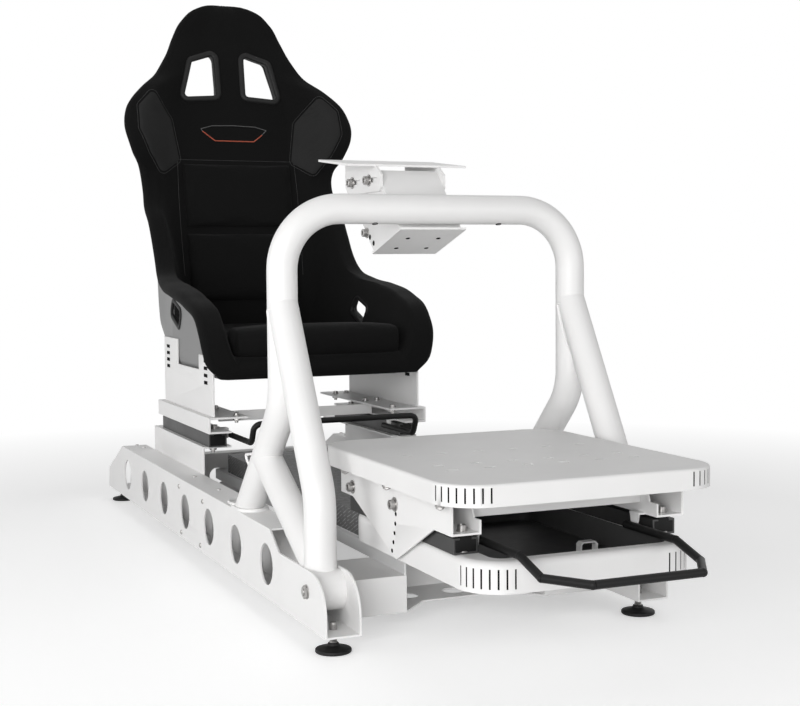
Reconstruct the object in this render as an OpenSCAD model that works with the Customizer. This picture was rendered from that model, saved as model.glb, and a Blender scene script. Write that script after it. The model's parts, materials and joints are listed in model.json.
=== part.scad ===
// Sim racing cockpit: two folded steel side beams on levelling feet carry a
// tubular hoop with the wheel deck, a sliding pedal tray and a sliding bucket seat.
// Units are millimetres. The front of the cockpit faces -Y and the floor is Z = 0.

/* [Side beams] */
// Width over the outer faces of both side beams
overall_w = 600; // [560:5:680]
// Length of each side beam
beam_l = 1580; // [1500:10:1700]
// Height of each side beam
beam_h = 120; // [110:1:140]
// Clearance between the floor and the underside of the beams
beam_z = 32; // [28:1:45]
// Thickness of the folded steel sheet
sheet = 3; // [2.5:0.5:4]
// Height of the open front end of each beam
nose_h = 89; // [84:1:95]
// Radius of the rounded front end of each beam
nose_r = 60; // [30:1:70]
// Length of the open front end of each beam
nose_l = 217; // [200:1:230]
// Length of the ramp up to the closed part of the beam
ramp_l = 46; // [30:1:60]
// Length of the sloping rear end of each beam
tail_l = 168; // [100:1:180]
// Height of the rear end of each beam
tail_h = 48; // [30:1:60]
// Number of lightening holes in each beam
hole_count = 7; // [5:1:7]
// Diameter of a lightening hole
hole_d = 69; // [40:1:72]
// Distance between lightening holes
hole_pitch = 178.5; // [150:0.5:180]
// Distance from the front end to the first lightening hole
hole_start = 284; // [270:1:300]

/* [Levelling feet] */
// Diameter of a foot's disc
foot_d = 58; // [45:1:70]
// Thickness of a foot's disc
foot_t = 9; // [6:1:12]
// Diameter of a foot's stud
stud_d = 12; // [8:1:14]
// Distance from the front end of the beams to the front feet
front_foot_y = 45; // [40:1:60]
// Distance from the rear end of the beams to the rear feet
rear_foot_inset = 40; // [35:1:60]

/* [Hoop] */
// Diameter of the frame tubes
tube_d = 50.8; // [45:0.1:55]
// Distance from the front end of the beams to the hoop's plane
hoop_y = 268; // [255:1:285]
// Height of the centre line of the hoop's top tube
hoop_z = 678.5; // [660:0.5:720]
// Bend radius of the hoop's top corners
hoop_bend_r = 102; // [80:1:130]
// Height at which the hoop's legs start to bend rearwards
kick_z = 396.5; // [390:0.5:410]
// Angle by which the hoop's legs bend rearwards
kick_angle = 45; // [42:0.5:48]
// Bend radius at the foot of the hoop
kick_bend_r = 100; // [80:1:120]
// Length of the oval weld flange on the beam
flange_l = 92; // [85:1:110]
// Thickness of the oval weld flange
flange_t = 5; // [3:0.5:8]

/* [Front legs] */
// Angle of a front leg's upper part from the vertical
leg_angle = 30; // [28:0.5:32]
// Height at which a front leg starts to bend rearwards
knee_z = 202; // [196:1:210]
// Distance from the front end of the beams to the lower front leg
leg_y = 98; // [94:1:104]
// Bend radius of the knee
knee_bend_r = 100; // [80:1:120]
// Distance from the front end of the beams to the leg's pivot bolt
boss_y = 82; // [78:1:88]
// Height of the leg's pivot bolt above the beam's underside
boss_rise = 55; // [52:1:60]
// Diameter of the boss at the foot of a front leg
boss_d = 62; // [56:1:66]
// Diameter of the pivot bolt
pivot_bolt_d = 12; // [8:1:14]
// Height at which the cross brace leaves the hoop's leg
brace_z = 258; // [250:1:268]

/* [Cross members] */
// Distance from the front end of the beams to the front cross member
front_cross_y = 100; // [96:1:106]
// Depth of the front cross member
front_cross_l = 150; // [130:1:170]
// Height of the front cross member
front_cross_h = 60; // [55:1:66]
// Inner half width between the two boxes of the front cross member
box_inner_x = 125; // [115:1:135]
// Distance from the front end of the beams to the rear cross member
rear_cross_y = 1200; // [1190:5:1230]
// Height of the rear cross member
rear_cross_h = 118; // [100:1:120]
// Depth of the rear cross member's flanges
rear_cross_l = 40; // [30:1:60]
// Diameter of the holes in the cross members
cross_hole_d = 36; // [20:1:45]

/* [Centre tunnel] */
// Width of the tunnel's top
tunnel_w = 244; // [220:1:256]
// Height of the tunnel's upper box
tunnel_h = 42; // [30:1:50]
// Height of the ledge under the tunnel's upper box
ledge_h = 23; // [18:1:30]
// Width of the ledge beyond the tunnel, on each side
ledge_w = 7; // [6:1:10]
// Distance from the front end of the beams to the tunnel's upper box
tunnel_y = 232; // [228:1:250]
// Length of the tunnel's upper box
tunnel_l = 888; // [800:1:950]

/* [Lower pedal tray] */
// Width of the lower pedal tray
lower_w = 362; // [350:1:380]
// Length of the lower pedal tray
lower_l = 480; // [440:1:484]
// Height of the lower pedal tray
lower_h = 44; // [36:1:50]
// Distance by which the lower tray reaches in front of the beams
lower_front = 264; // [250:1:275]
// Corner radius of the lower tray
lower_r = 62; // [45:1:75]
// Height of the riser between the tunnel's ledge and the lower tray
riser_h = 26; // [20:1:34]
// Width of the lower tray's front rim
lower_rim = 26; // [20:1:35]
// Thickness of the lower tray's floor
lower_floor = 4; // [3:0.5:6]

/* [Pedal slides] */
// Width of a slide rail
rail_w = 38; // [34:1:42]
// Height of a slide rail's fixed part
rail_h = 23; // [22:1:28]
// Thickness of a slide rail's sheet
rail_t = 3; // [2.5:0.5:3.5]
// Width of a slide rail's turned-in lips
lip_w = 7; // [5:1:9]
// Length of the pedal rails
pedal_rail_l = 392; // [370:1:400]
// Distance by which the pedal rails reach in front of the beams
pedal_rail_front = 191; // [185:1:195]
// Running clearance between the fixed and the sliding rail
slide_gap = 0.3; // [0.2:0.05:0.5]
// Height of the sliding rail above the fixed rail
slide_rise = 5; // [5:0.5:8]

/* [Pedal tray] */
// Width of the pedal tray
tray_w = 440; // [420:1:450]
// Length of the pedal tray
tray_l = 520; // [500:1:524]
// Height of the pedal tray's skirt
tray_h = 31; // [26:1:40]
// Distance by which the pedal tray reaches in front of the beams
tray_front = 268; // [260:1:280]
// Corner radius of the pedal tray
tray_r = 65; // [50:1:80]
// Thickness of the pedal tray's sheet
tray_t = 4; // [3:0.5:6]
// Length of a pedal mounting slot
slot_l = 18; // [12:1:24]
// Width of a pedal mounting slot
slot_w = 7; // [5:0.5:9]
// Distance from the front end of the beams to the rear row of slots
slot_rear_y = 36; // [30:1:42]
// Distance from the rear row to the middle row of slots
slot_middle_pitch = 116; // [100:1:125]
// Distance from the rear row to the front row of slots
slot_front_pitch = 163; // [150:1:170]
// Spacing between the innermost slots
slot_inner_x = 60; // [50:1:66]
// Spacing between the middle slots
slot_middle_x = 184; // [170:1:194]
// Spacing between the outermost slots
slot_outer_x = 304; // [290:1:316]
// Height of the side plates under the pedal tray
wedge_h = 76; // [74:1:82]
// Thickness of the side plates
wedge_t = 3; // [2.5:0.5:4]
// Width of the channel folded into each side plate
wedge_w = 43; // [43:0.5:45]
// Length of the channel folded into each side plate
wedge_channel_l = 400; // [394:1:410]
// Height of the channel's inner upstand at its front end
upstand_h = 20; // [16:1:26]
// Distance by which a side plate's pointed lower edge hangs below the slider
wedge_drop = 69; // [60:1:70]
// Distance from the front end of the beams to the rear edge of the side plates
wedge_rear = 221; // [215:1:225]
// Distance from the front end of the beams to the tray's tilt bolt
tilt_y = 169; // [165:1:173]
// Distance from the tilt bolt forwards to the arc of holes
tilt_r = 177; // [174:1:180]
// Angle between neighbouring holes of the arc
tilt_step = 4.9; // [4.7:0.1:5.1]
// Diameter of the tilt bolts
tilt_bolt_d = 6; // [5:0.5:7]
// Height of the cross plate under the pedal tray
cross_plate_h = 60; // [50:1:64]

/* [Pedal handle] */
// Diameter of the release handles' bar
bar_d = 12; // [10:0.5:13]
// Width between the centre lines of the handle's arms
pedal_handle_w = 248; // [244:1:250]
// Width of the handle's front bar between its bends
pedal_grip_w = 168; // [150:1:190]
// Distance from the front end of the beams to the handle's hinge
pedal_hinge_y = -160; // [-170:1:-150]
// Distance from the hinge forwards to the handle's upper bend
pedal_arm_l = 117; // [112:1:125]
// Distance from the upper bend forwards to the lower bend
pedal_drop_l = 59; // [50:1:66]
// Height by which the handle drops between these bends
pedal_drop_h = 18; // [12:1:24]
// Distance from the lower bend forwards to the front bar
pedal_grip_l = 61; // [50:1:75]
// Clearance between the handle's arms and the rim of the lower tray
pedal_bar_gap = 5; // [5:0.5:8]

/* [Wheel mount] */
// Width of the wheel channel welded to the hoop
channel_w = 116; // [100:1:120]
// Thickness of the wheel mount's plates
mount_t = 4; // [3:0.5:5]
// Length of the channel's web along its slope
web_l = 146; // [140:1:150]
// Angle of the channel's web from the horizontal
web_angle = 46; // [44:0.5:48]
// Length of the lower plate along its slope
lower_plate_l = 135; // [125:1:145]
// Angle of the lower plate below the horizontal
lower_plate_angle = 17.6; // [15:0.2:20]
// Width of the wheel deck
deck_w = 230; // [200:1:260]
// Length of the wheel deck
deck_l = 148; // [140:1:170]
// Tilt of the wheel deck, rear edge up
deck_tilt = 6.7; // [5:0.1:8]
// Height of the wheel deck's front edge above the hoop's centre line
deck_rise = 79; // [77:0.5:90]
// Distance from the hoop's plane back to the deck's front edge
deck_y = 102; // [96:1:106]
// Depth of the deck's side brackets
deck_bracket_h = 44; // [40:1:46]
// Length of the slots in the deck's side brackets
deck_slot_l = 42; // [36:1:46]
// Diameter of the deck's clamp bolts
deck_bolt_d = 8; // [6:0.5:10]
// Distance between the deck's clamp bolts
deck_bolt_pitch = 80; // [72:1:84]
// Distance from the hoop's plane back to the front clamp bolt
deck_bolt_y = 132; // [130:1:136]
// Distance by which the side brackets reach in front of the deck
deck_bracket_front = 25; // [20:1:28]
// Height of the clamp bolts above the hoop's centre line
deck_bolt_rise = 56; // [54:1:60]

/* [Seat carriage] */
// Distance from the front end of the beams to the seat's base brackets
seat_base_y = 887; // [870:1:900]
// Length of the seat's base brackets
seat_base_l = 430; // [400:1:450]
// Height of the base brackets above the beams
seat_base_rise = 57; // [50:1:66]
// Thickness of the seat's brackets
bracket_t = 4; // [3:0.5:5]
// Width of the base bracket's top flange
base_flange_w = 62; // [58:1:70]
// Distance from the beams' inner faces to the seat rails
rail_inset = 10; // [8:1:14]
// Length of the seat rails
seat_rail_l = 400; // [380:1:420]
// Distance from the front end of the beams to the seat rails
seat_rail_y = 874; // [865:1:885]
// Height of a seat rail's fixed part
seat_rail_h = 27; // [24:1:30]
// Height of the box bracket above the seat rails
box_h = 33; // [28:1:38]
// Distance from the front end of the beams to the box bracket
box_y = 837; // [830:1:845]
// Length of the box bracket
box_l = 438; // [420:1:450]
// Width of the box bracket's top flange
box_flange_w = 84; // [78:1:90]
// Height of the side plate's rear upright above the box bracket
side_plate_h = 148; // [140:1:160]
// Height of the side plate below its cut-out
side_plate_base_h = 92; // [80:1:100]
// Length of the side plate's front upright
front_upright_l = 108; // [95:1:115]
// Length of the side plate's rear upright
rear_upright_l = 118; // [100:1:125]
// Height of the side plate's front upright above the box bracket
front_upright_h = 124; // [110:1:130]
// Inset of the side plate from the box bracket's outer face
side_plate_inset = 12; // [11:1:14]
// Height of the cross bar between the box brackets
cross_bar_h = 22; // [18:1:26]
// Distance from the front of the box bracket to the cross bar
cross_bar_y = 153; // [140:1:170]

/* [Seat handle] */
// Bend radius of the release handles' bars
bar_bend_r = 16; // [12:1:20]
// Distance from the front of the box bracket back to the handle's hinge
seat_hinge_y = 70; // [65:1:80]
// Distance from the seat rails inwards to the middle of the handle's arms
seat_handle_inset = 17.6; // [16:0.2:22]
// Distance by which the handle reaches in front of the box bracket
seat_handle_reach = 100; // [90:1:110]
// Height by which the handle's front bar stands above its arms
seat_handle_rise = 40; // [34:1:46]

/* [Seat] */
// Height of the seat's underside above the beams
seat_rise = 193.5; // [190:0.5:210]
// Distance from the front end of the beams to the seat's front edge
seat_y = 822; // [815:1:830]
// Overall height of the seat
seat_h = 895; // [860:1:920]
// Distance from the seat's front edge back to the foot of the backrest
seat_depth = 511; // [495:1:525]
// Thickness of the seat's shell
shell_t = 6; // [4:0.5:8]
// Width over the thigh bolsters
thigh_w = 524; // [510:1:530]
// Width over the bolsters at the waist
waist_w = 484; // [470:1:500]
// Width over the shoulder wings
shoulder_w = 572; // [550:1:590]
// Width of the cushion between the bolsters
cushion_w = 372; // [350:1:380]
// Height of the cushion's front edge above the seat's underside
cushion_h = 99; // [90:1:105]
// Angle by which the backrest leans back
recline = 12.1; // [11.5:0.1:12.7]
// Thickness of the back pad
back_pad_t = 44; // [40:1:46]
// Thickness of the headrest pad
head_pad_t = 38; // [34:1:44]
// Height of the harness slots
slot_h = 98; // [80:1:105]
// Height of the harness slots above the seat's underside
harness_z = 661; // [655:1:670]
// Distance from the seat's middle to a harness slot
harness_x = 40; // [34:1:48]
// Width of a harness slot at its lower end
harness_w = 76; // [60:1:80]
// Height of a lap belt hole above the seat's underside
lap_z = 133; // [125:1:140]
// Distance from the seat's front edge back to a lap belt hole
lap_y = 367; // [355:1:380]
// Length of a lap belt hole
lap_l = 70; // [50:1:80]

/* [Fits] */
// Clearance at welded tube ends and between seated pieces
seat_gap = 0.3; // [0.2:0.05:0.5]
// Radial clearance of a bolt in its hole
bolt_gap = 0.3; // [0.2:0.05:0.5]
// Radial clearance of a hinge pin in its ear
pin_gap = 0.05; // [0.02:0.01:0.08]

/* [Hidden] */
$fn = 64;
white_coat = [0.93, 0.93, 0.92];
black_coat = [0.06, 0.06, 0.07];
zinc = [0.6, 0.6, 0.6];
fabric = [0.08, 0.08, 0.09];
shell_grey = [0.5, 0.5, 0.5];

tube_r = tube_d / 2;
beam_w = tube_d + 2 * seat_gap + 2 * sheet;
beam_x = overall_w / 2;
beam_in_x = beam_x - beam_w;
leg_x = beam_x - beam_w / 2;
beam_top = beam_z + beam_h;
rear_foot_y = beam_l - rear_foot_inset;
bar_r = bar_d / 2;
knuckle = 1.05;
ear_t = wedge_t;
pin_d = bar_r;
pedal_arm_x = pedal_handle_w / 2;
pedal_bar_front = pedal_hinge_y - pedal_arm_l - pedal_drop_l - pedal_grip_l;
front_y = pedal_bar_front - bar_r * knuckle;
mid_y = (front_y + beam_l) / 2;
RIGHT = 1;
LEFT = 0;

// Placing: the row's origin lies on the floor under the middle of the whole cockpit
module place() {
  translate([0, -mid_y, 0]) children();
}

// A piece drawn for the left side (+X), placed there or mirrored to the right side
module sided(side) {
  place() mirror([side, 0, 0]) children();
}

// A side view drawn in Y and Z, made t thick from x0 towards +X
module from_side(x0, t) {
  translate([x0, 0, 0]) rotate([90, 0, 90]) linear_extrude(t) children();
}

// A front view drawn in X and Z, made t deep from y0 towards +Y
module from_front(y0, t) {
  translate([0, y0 + t, 0]) rotate([90, 0, 0]) linear_extrude(t) children();
}

// A straight rod in the YZ plane between two points given as [y, z]
module rod_yz(a, b, d) {
  step = b - a;
  translate([0, a.x, a.y]) rotate([-atan2(step.x, step.y), 0, 0]) cylinder(d = d, h = norm(step));
}

// A tube bend about the origin, in the XY plane, from the X axis round by angle
module bend(r, angle, d) {
  rotate_extrude(angle = angle) translate([r, 0]) circle(d = d);
}

// A bend with a straight lead before it and a straight tail after it
module bent_tube(r, angle, lead, tail, d) {
  bend(r, angle, d);
  translate([r, 0, 0]) rotate([90, 0, 0]) cylinder(d = d, h = lead);
  rotate([0, 0, angle]) translate([r, 0, 0]) rotate([-90, 0, 0]) cylinder(d = d, h = tail);
}

// A straight length of bar along +Z, with its children at its far end
module run(l, d) {
  cylinder(d = d, h = l);
  translate([0, 0, l]) children();
}

// A bend in a bar, from +Z towards the side at the angle roll, with its children at its far end
module turn(r, angle, roll, d) {
  rotate([0, 0, roll]) {
    translate([r, 0, 0]) rotate([90, 0, 180]) bend(r, angle, d);
    translate([r, 0, 0]) rotate([0, angle, 0]) translate([-r, 0, 0]) children();
  }
}

// A straight bar between two points
module bar(a, b, d) {
  step = b - a;
  l = norm(step);
  translate(a) rotate([0, acos(step.z / l), atan2(step.y, step.x)]) cylinder(d = d, h = l);
}

// A bar through a row of points, with a rounded knuckle at each bend
module bar_path(points, d) {
  for (i = [0 : len(points) - 2]) bar(points[i], points[i + 1], d);
  for (i = [1 : len(points) - 2]) translate(points[i]) sphere(d = d * knuckle);
}

// A slot with round ends
module slot(l, w) {
  square([l - w, w], center = true);
  for (e = [-1, 1]) translate([e * (l - w) / 2, 0]) circle(d = w);
}

// A rectangle with rounded corners
module rounded_rect(w, l, r) {
  square([w - 2 * r, l], center = true);
  square([w, l - 2 * r], center = true);
  for (sx = [-1, 1]) for (sy = [-1, 1])
    translate([sx * (w / 2 - r), sy * (l / 2 - r)]) circle(r);
}

// Side beams
module beam_side() {
  polygon([[0, 0], [beam_l, 0], [beam_l - 0.15 * tail_h, tail_h], [beam_l - tail_l, beam_h],
    [nose_l + ramp_l, beam_h], [nose_l, nose_h], [nose_r, nose_h], [nose_r, nose_h - nose_r],
    [0, nose_h - nose_r]]);
  translate([nose_r, nose_h - nose_r]) circle(nose_r);
}

module beam_plate(x0) {
  translate([0, 0, beam_z]) from_side(x0, sheet) difference() {
    intersection() {
      beam_side();
      square([beam_l, beam_h]);
    }
    translate([boss_y, boss_rise]) circle(d = pivot_bolt_d + 2 * bolt_gap);
    if (x0 > beam_in_x) for (i = [0 : hole_count - 1])
      translate([hole_start + i * hole_pitch, nose_h - hole_d / 2 + 3]) circle(d = hole_d);
  }
}

module side_beam(side) {
  color(white_coat) sided(side) {
    beam_plate(beam_x - sheet);
    beam_plate(beam_in_x);
    difference() {
      translate([beam_in_x, 0, beam_z]) cube([beam_w, beam_l, sheet]);
      for (y = [front_foot_y, rear_foot_y]) translate([leg_x, y, beam_z - 1])
        cylinder(d = stud_d + 2 * bolt_gap, h = sheet + 2);
    }
    translate([beam_in_x, nose_l + ramp_l, beam_top - sheet])
      cube([beam_w, beam_l - tail_l - nose_l - ramp_l, sheet]);
  }
}

// Levelling feet: disc, neck, stud and the two nuts that clamp the beam's floor
nut_d = stud_d * 1.75;
nut_h = stud_d * 0.65;
module foot(side, y) {
  color(black_coat) sided(side) translate([leg_x, y, 0]) {
    cylinder(d = foot_d, h = foot_t);
    cylinder(d = foot_d * 0.4, h = foot_t + 6);
    cylinder(d = stud_d, h = beam_z + sheet + 2 * nut_h);
    translate([0, 0, beam_z - nut_h]) cylinder(d = nut_d, h = nut_h, $fn = 6);
    translate([0, 0, beam_z + sheet]) cylinder(d = nut_d, h = nut_h, $fn = 6);
  }
}

// Hoop: one bent tube whose legs kick rearwards onto oval flanges on the beams
flange_top = beam_top + flange_t;
kick_end_z = kick_z - kick_bend_r * sin(kick_angle);
kick_end_y = hoop_y + kick_bend_r * (1 - cos(kick_angle));
flange_y = kick_end_y + (kick_end_z - flange_top) * tan(kick_angle);

module hoop_leg(d) {
  translate([leg_x, hoop_y + kick_bend_r, kick_z]) rotate([90, 0, 90]) rotate([0, 0, 180])
    bent_tube(kick_bend_r, kick_angle, hoop_z - hoop_bend_r - kick_z,
      (kick_end_z - beam_z) / cos(kick_angle), d);
}

module hoop_flange() {
  translate([leg_x, flange_y, beam_top]) {
    for (s = [-1, 1]) translate([0, s * (flange_l - beam_w) / 2, 0]) cylinder(d = beam_w, h = flange_t);
    translate([-beam_w / 2, -(flange_l - beam_w) / 2, 0]) cube([beam_w, flange_l - beam_w, flange_t]);
  }
}

module hoop() {
  color(white_coat) place() {
    difference() {
      union() {
        translate([0, hoop_y, hoop_z]) rotate([0, 90, 0])
          cylinder(d = tube_d, h = 2 * (leg_x - hoop_bend_r), center = true);
        for (side = [LEFT, RIGHT]) mirror([side, 0, 0]) {
          translate([leg_x - hoop_bend_r, hoop_y, hoop_z - hoop_bend_r]) rotate([90, 0, 0])
            bend(hoop_bend_r, 90, tube_d);
          hoop_leg(tube_d);
        }
      }
      translate([-beam_x, 0, 0]) cube([2 * beam_x, beam_l, flange_top]);
    }
    for (side = [LEFT, RIGHT]) mirror([side, 0, 0]) hoop_flange();
  }
}

// Front legs: from the hoop forwards to a knee, down to a boss between the beam's plates
boss_z = beam_z + boss_rise;
knee_end_z = knee_z + knee_bend_r * sin(leg_angle);
knee_end_y = leg_y + knee_bend_r * (1 - cos(leg_angle));

module boss(d) {
  translate([leg_x, boss_y, boss_z]) rotate([0, 90, 0]) cylinder(d = d, h = tube_d, center = true);
}

module front_leg_tube(d) {
  translate([leg_x, leg_y + knee_bend_r, knee_z]) rotate([90, 0, 90]) rotate([0, 0, 180 - leg_angle])
    bent_tube(knee_bend_r, leg_angle, (hoop_y - knee_end_y) / sin(leg_angle), knee_z - boss_z, d);
}

module front_leg(side) {
  color(white_coat) sided(side) difference() {
    union() {
      front_leg_tube(tube_d);
      boss(boss_d);
    }
    translate([leg_x, hoop_y, knee_z]) cylinder(d = tube_d + 2 * seat_gap, h = hoop_z);
    translate([leg_x - tube_d, boss_y, boss_z]) rotate([0, 90, 0])
      cylinder(d = pivot_bolt_d + 2 * bolt_gap, h = 2 * tube_d);
  }
}

// Cross braces: from the hoop's kicked leg down to the foot of the front leg
brace_top = [kick_end_y + (kick_end_z - brace_z) * tan(kick_angle), brace_z];
brace_foot = [leg_y - 3, boss_z + boss_d * 0.37];

module cross_brace(side) {
  cut_d = tube_d + 2 * seat_gap;
  color(white_coat) sided(side) difference() {
    translate([leg_x, 0, 0]) rod_yz(brace_foot, brace_top, tube_d);
    translate([leg_x, brace_top.x, brace_z]) rotate([kick_angle, 0, 0])
      cylinder(d = cut_d, h = 4 * tube_d, center = true);
    translate([leg_x, leg_y, beam_z]) cylinder(d = cut_d, h = knee_z - beam_z);
    boss(boss_d + 2 * seat_gap);
  }
}

// Pivot bolts through the beams' plates and the bosses of the front legs
module leg_pivot_bolts() {
  head_h = pivot_bolt_d * 0.65;
  head_d = pivot_bolt_d * 1.6;
  color(zinc) place() for (side = [LEFT, RIGHT]) mirror([side, 0, 0])
    translate([beam_in_x, boss_y, boss_z]) rotate([0, 90, 0]) {
      translate([0, 0, -head_h]) cylinder(d = head_d, h = head_h, $fn = 6);
      cylinder(d = pivot_bolt_d, h = beam_w);
      translate([0, 0, beam_w]) cylinder(d = head_d, h = head_h, $fn = 6);
    }
}

// Front cross member: a folded channel with a closed box against each beam
front_cross_top = beam_z + front_cross_h;
module front_cross_member() {
  relief = front_cross_l / 3;
  color(white_coat) place() {
    translate([0, 0, beam_z]) linear_extrude(sheet) difference() {
      polygon([[-beam_in_x, front_cross_y], [-box_inner_x, front_cross_y],
        [relief - box_inner_x, front_cross_y + relief], [box_inner_x - relief, front_cross_y + relief],
        [box_inner_x, front_cross_y], [beam_in_x, front_cross_y],
        [beam_in_x, front_cross_y + front_cross_l], [-beam_in_x, front_cross_y + front_cross_l]]);
      for (x = [-2, 0, 2]) translate([x * box_inner_x / 3, front_cross_y + front_cross_l * 0.62])
        circle(d = cross_hole_d);
    }
    translate([-beam_in_x, front_cross_y + front_cross_l - sheet, beam_z])
      cube([2 * beam_in_x, sheet, front_cross_h]);
    for (side = [LEFT, RIGHT]) mirror([side, 0, 0]) {
      translate([box_inner_x, front_cross_y, beam_z]) cube([beam_in_x - box_inner_x, sheet, front_cross_h]);
      translate([box_inner_x, front_cross_y, beam_z]) cube([sheet, front_cross_l, front_cross_h]);
      translate([box_inner_x, front_cross_y, front_cross_top - sheet])
        cube([beam_in_x - box_inner_x, front_cross_l, sheet]);
    }
  }
}

// Rear cross member: a channel on edge with three lightening holes in its web
module rear_cross_member() {
  color(white_coat) place() {
    translate([0, 0, beam_z]) from_front(rear_cross_y, sheet) difference() {
      translate([-beam_in_x, 0]) square([2 * beam_in_x, rear_cross_h]);
      for (x = [-1, 0, 1]) translate([x * box_inner_x, rear_cross_h * 0.56]) circle(d = cross_hole_d);
    }
    for (z = [0, rear_cross_h - sheet]) translate([-beam_in_x, rear_cross_y, beam_z + z])
      cube([2 * beam_in_x, rear_cross_l, sheet]);
  }
}

// Centre tunnel: an upper box with a patterned top on a wider ledge that runs to the front
ledge_x = tunnel_w / 2 + ledge_w;
ledge_top = front_cross_top + ledge_h;
module centre_tunnel() {
  rear_y = tunnel_y + tunnel_l;
  color(white_coat) place() {
    translate([-ledge_x, front_cross_y, ledge_top - sheet])
      cube([2 * ledge_x, rear_cross_y - front_cross_y, sheet]);
    for (side = [LEFT, RIGHT]) mirror([side, 0, 0]) {
      translate([ledge_x - sheet, front_cross_y, front_cross_top])
        cube([sheet, rear_cross_y - front_cross_y, ledge_h]);
      translate([tunnel_w / 2 - sheet, tunnel_y, ledge_top]) cube([sheet, tunnel_l, tunnel_h]);
    }
    for (y = [tunnel_y, rear_y - sheet]) translate([-tunnel_w / 2, y, ledge_top])
      cube([tunnel_w, sheet, tunnel_h]);
    translate([-tunnel_w / 2, tunnel_y, ledge_top + tunnel_h - sheet]) cube([tunnel_w, tunnel_l, sheet]);
  }
}

// Riser: a short box that carries the rear half of the lower pedal tray
lower_z = ledge_top + riser_h;
lower_top = lower_z + lower_h;
pedal_bar_z = lower_top + pedal_bar_gap + bar_r;
riser_w = tunnel_w * 0.8;
riser_l = tunnel_y - front_cross_y - 20;
module tray_riser() {
  color(white_coat) place() translate([0, front_cross_y, ledge_top]) difference() {
    translate([-riser_w / 2, 0, 0]) cube([riser_w, riser_l, riser_h]);
    translate([sheet - riser_w / 2, -1, -1]) cube([riser_w - 2 * sheet, riser_l + 2, riser_h - sheet + 1]);
  }
}

// Lower pedal tray: a pan with wide side rims that carry the pedal rails
rail_outer_x = lower_w / 2;
rail_inner_x = rail_outer_x - rail_w;
module lower_pedal_tray() {
  pan_w = 2 * rail_inner_x - 2;
  color(white_coat) place() translate([0, lower_l / 2 - lower_front, lower_z]) difference() {
    linear_extrude(lower_h) rounded_rect(lower_w, lower_l, lower_r);
    translate([0, 0, lower_floor]) linear_extrude(lower_h)
      rounded_rect(pan_w, lower_l - 2 * lower_rim, lower_r / 3);
  }
}

// Slide rails: a lipped channel, and the sliding tee that runs in it
module rail_section(h) {
  difference() {
    square([rail_w, h]);
    translate([rail_t, rail_t]) square([rail_w - 2 * rail_t, h - 2 * rail_t]);
    translate([rail_t + lip_w, rail_t]) square([rail_w - 2 * rail_t - 2 * lip_w, h]);
  }
}

module slider_section(h) {
  inset = rail_t + slide_gap;
  neck = inset + lip_w;
  translate([inset, inset]) square([rail_w - 2 * inset, h - 2 * inset]);
  translate([neck, inset]) square([rail_w - 2 * neck, h + slide_rise - inset]);
}

pedal_slide_top = lower_top + rail_h + slide_rise;
module pedal_rail(side) {
  color(black_coat) sided(side) translate([rail_inner_x, 0, lower_top])
    from_front(-pedal_rail_front, pedal_rail_l) rail_section(rail_h);
}

module pedal_slider(side) {
  color(black_coat) sided(side) translate([rail_inner_x, 0, lower_top])
    from_front(-pedal_rail_front, pedal_rail_l) slider_section(rail_h);
}

// Pedal side plates: a wedge outside the slide, folded into a channel over the slider
wedge_x = rail_inner_x + wedge_w + wedge_t;
wedge_top = pedal_slide_top + wedge_h;
wedge_front = -pedal_rail_front - 10;
wedge_apex = [-7, pedal_slide_top - wedge_drop];
wedge_notch = [wedge_front + 58, pedal_slide_top];
wedge_tail = [tilt_y, pedal_slide_top];
tilt_z = pedal_slide_top + 15;
module pedal_side_plate(side) {
  base = pedal_slide_top;
  channel_rear = wedge_front + wedge_channel_l;
  color(white_coat) sided(side) {
    difference() {
      from_side(wedge_x - wedge_t, wedge_t) polygon([[wedge_front, base], wedge_notch, wedge_apex,
        wedge_tail, [wedge_rear, base], [wedge_rear, wedge_top], [wedge_front, wedge_top]]);
      for (i = [0 : 5]) tilt_hole(tilt_y - tilt_r * cos(i * tilt_step), tilt_z - tilt_r * sin(i * tilt_step));
      tilt_hole(tilt_y, tilt_z);
    }
    translate([rail_inner_x, wedge_front, base]) cube([wedge_w, wedge_channel_l, wedge_t]);
    from_side(rail_inner_x, wedge_t) polygon([[wedge_front, base], [channel_rear, base],
      [channel_rear, wedge_top], [wedge_front + 2 * upstand_h, wedge_top],
      [wedge_front + upstand_h, base + upstand_h], [wedge_front, base + upstand_h]]);
    hinge_ear(pedal_arm_x + bar_r + seat_gap, pedal_hinge_y, pedal_bar_z, base, wedge_t, rail_inner_x);
  }
}

module tilt_hole(y, z) {
  translate([wedge_x - wedge_t - 1, y, z]) rotate([0, 90, 0])
    cylinder(d = tilt_bolt_d + 2 * bolt_gap, h = wedge_t + 2);
}

// Hinge ear of a release handle, on a tab that reaches in from a bracket's floor
module hinge_ear(x, y, bar_z, tab_z, tab_t, tab_reach) {
  difference() {
    union() {
      from_side(x, ear_t) polygon([[y - bar_d, tab_z + tab_t], [y - bar_r, bar_z - bar_r],
        [y + bar_r, bar_z - bar_r], [y + bar_d, tab_z + tab_t]]);
      translate([x, y - bar_d, tab_z]) cube([tab_reach - x, 2 * bar_d, tab_t]);
    }
    translate([x - 1, y, bar_z]) rotate([0, 90, 0]) cylinder(d = pin_d + 2 * pin_gap, h = ear_t + 2);
  }
}

// Hinge pin of a release handle, from the bar's middle out through the ear
module hinge_pin(x, y, z) {
  translate([x, y, z]) rotate([0, 90, 0]) cylinder(d = pin_d, h = bar_r + seat_gap + ear_t);
}

// Cross plate between the two channels, under the front of the pedal tray
module pedal_cross_plate() {
  y = wedge_front + 2 * upstand_h + wedge_t;
  color(white_coat) place() translate([-rail_inner_x, y, wedge_top - cross_plate_h])
    cube([2 * rail_inner_x, wedge_t, cross_plate_h]);
}

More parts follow.
